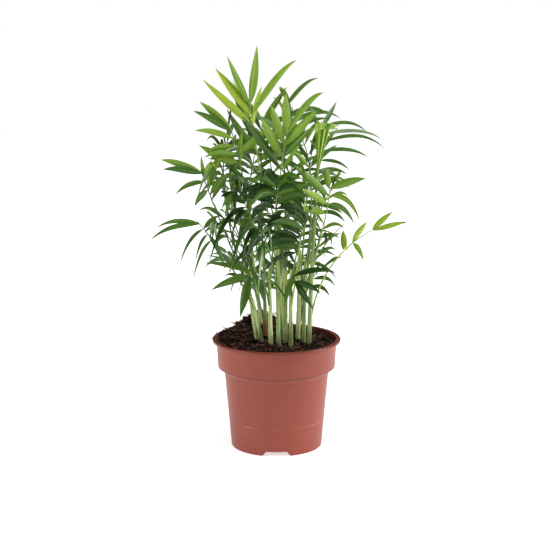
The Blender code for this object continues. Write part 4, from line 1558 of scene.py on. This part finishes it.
spear = Bundle()
spear.add(*furled_fan(), "spear")
spear.add(*folded_top(0, 1, 1, 0), "spear")
spear.add(*torn_point((-3.5, 0.6, -2.6), (-3.2, 0.3, 0.6), (-5.6, -0.8, 4.2), 2.0), "spear")
spear.add(*torn_point((2.8, 0.6, -2.6), (3.8, 0.6, 0.6), (1.2, 0.4, 5.6), 1.8), "spear")
spear.add(*torn_point((-0.5, 0.8, -2.6), (-0.6, 0.8, 0.0), (-1.6, 1.4, 3.2), 1.2), "spear")
fan = Finish("spear_fan", {"Specular IOR Level": 0.4})
stripes = fan.noise(1.6 * MM, 2, 0.5, (1, 1, 0.02))
fan.set("Base Color", fan.blend(stripes.between(0.3, 0.7), seen(168, 194, 88), seen(120, 156, 48)))
fan.set("Roughness", 0.42 + stripes * 0.1)
fan.raise_by(0.02 * MM, stripes)
spear.place("spear_fan", fan, "spear", 50)
lining = Finish("spear_lining", {"Specular IOR Level": 0.4})
veins = lining.noise(1.2 * MM, 2, 0.5, (0.05, 1, 1))
lining.set("Base Color", lining.blend(veins.between(0.3, 0.7), seen(74, 134, 34), seen(52, 112, 28)))
lining.set("Roughness", 0.4 + veins * 0.1)
lining.raise_by(0.02 * MM, veins)
place("spear_fold", *folded_top(0.50, 0.70, 0, 0.5), lining, "spear", ["spear"], 50)


# The stage is a plain pale floor under soft white light from both sides and above, as in a photo studio. The
# floor glows a little, more so far away, so that it runs into the white backdrop.
FLOOR_SIZE = 6.0
PLANT_MIDDLE = Vector((0, 0, 0.18))
AMBIENT = 0.17
WHITE = (1, 1, 1, 1)
bpy.context.scene.view_settings.view_transform = "Standard"
paper = Finish("studio_paper", {"Roughness": 0.9, "Emission Strength": 1.0})
paper.set("Base Color", seen(250, 250, 250))
reach = paper.node("ShaderNodeVectorMath", {"operation": "LENGTH"}, {"Vector": paper.here}, "Value")
paper.set("Emission Color", paper.blend(reach.between(0.3, 1.3), seen(205, 205, 205), seen(255, 255, 255)))
half = FLOOR_SIZE / 2
floor_mesh = bpy.data.meshes.new("studio_floor")
floor_corners = [(-half, -half, 0), (half, -half, 0), (half, half, 0), (-half, half, 0)]
floor_mesh.from_pydata(floor_corners, [], [(0, 1, 2, 3)])
floor_mesh.materials.append(paper.material)
floor = bpy.data.objects.new("studio_floor", floor_mesh)
bpy.context.scene.collection.objects.link(floor)

world = bpy.data.worlds.new("studio")
bpy.context.scene.world = world
world.use_nodes = True
world.node_tree.nodes.remove(world.node_tree.nodes["Background"])
sky = Nodes(world.node_tree)
ambient = sky.node("ShaderNodeBackground", {}, {"Color": WHITE, "Strength": AMBIENT})
backdrop = sky.node("ShaderNodeBackground", {}, {"Color": WHITE, "Strength": 1.0})
seen_straight = sky.node("ShaderNodeLightPath", {}, {}, "Is Camera Ray")
either = sky.node("ShaderNodeMixShader", {}, {0: seen_straight, 1: ambient, 2: backdrop})
sky.fill(world.node_tree.nodes["World Output"].inputs["Surface"], either)


def softbox(name, spot, size, power):
    """A large soft lamp that looks at the middle of the plant."""
    lamp = bpy.data.lights.new(name, "AREA")
    lamp.shape = "RECTANGLE"
    lamp.size = size
    lamp.size_y = size * 1.6
    lamp.energy = power
    holder = bpy.data.objects.new(name, lamp)
    holder.location = spot
    holder.rotation_euler = (PLANT_MIDDLE - Vector(spot)).to_track_quat("-Z", "Y").to_euler()
    bpy.context.scene.collection.objects.link(holder)


softbox("softbox_left", (-1.1, -0.55, 0.6), 0.6, 9.5)
softbox("softbox_right", (1.2, -0.08, 0.6), 0.6, 16)
softbox("softbox_top", (0.1, -0.2, 1.4), 0.6, 8)

view = bpy.data.cameras.new("photo_camera")
view.lens = CAMERA_LENS
view.clip_start = 0.05
camera = bpy.data.objects.new("photo_camera", view)
camera.location = CAMERA_PLACE
camera.rotation_euler = (CAMERA_PITCH, 0, 0)
bpy.context.scene.collection.objects.link(camera)
bpy.context.scene.camera = camera
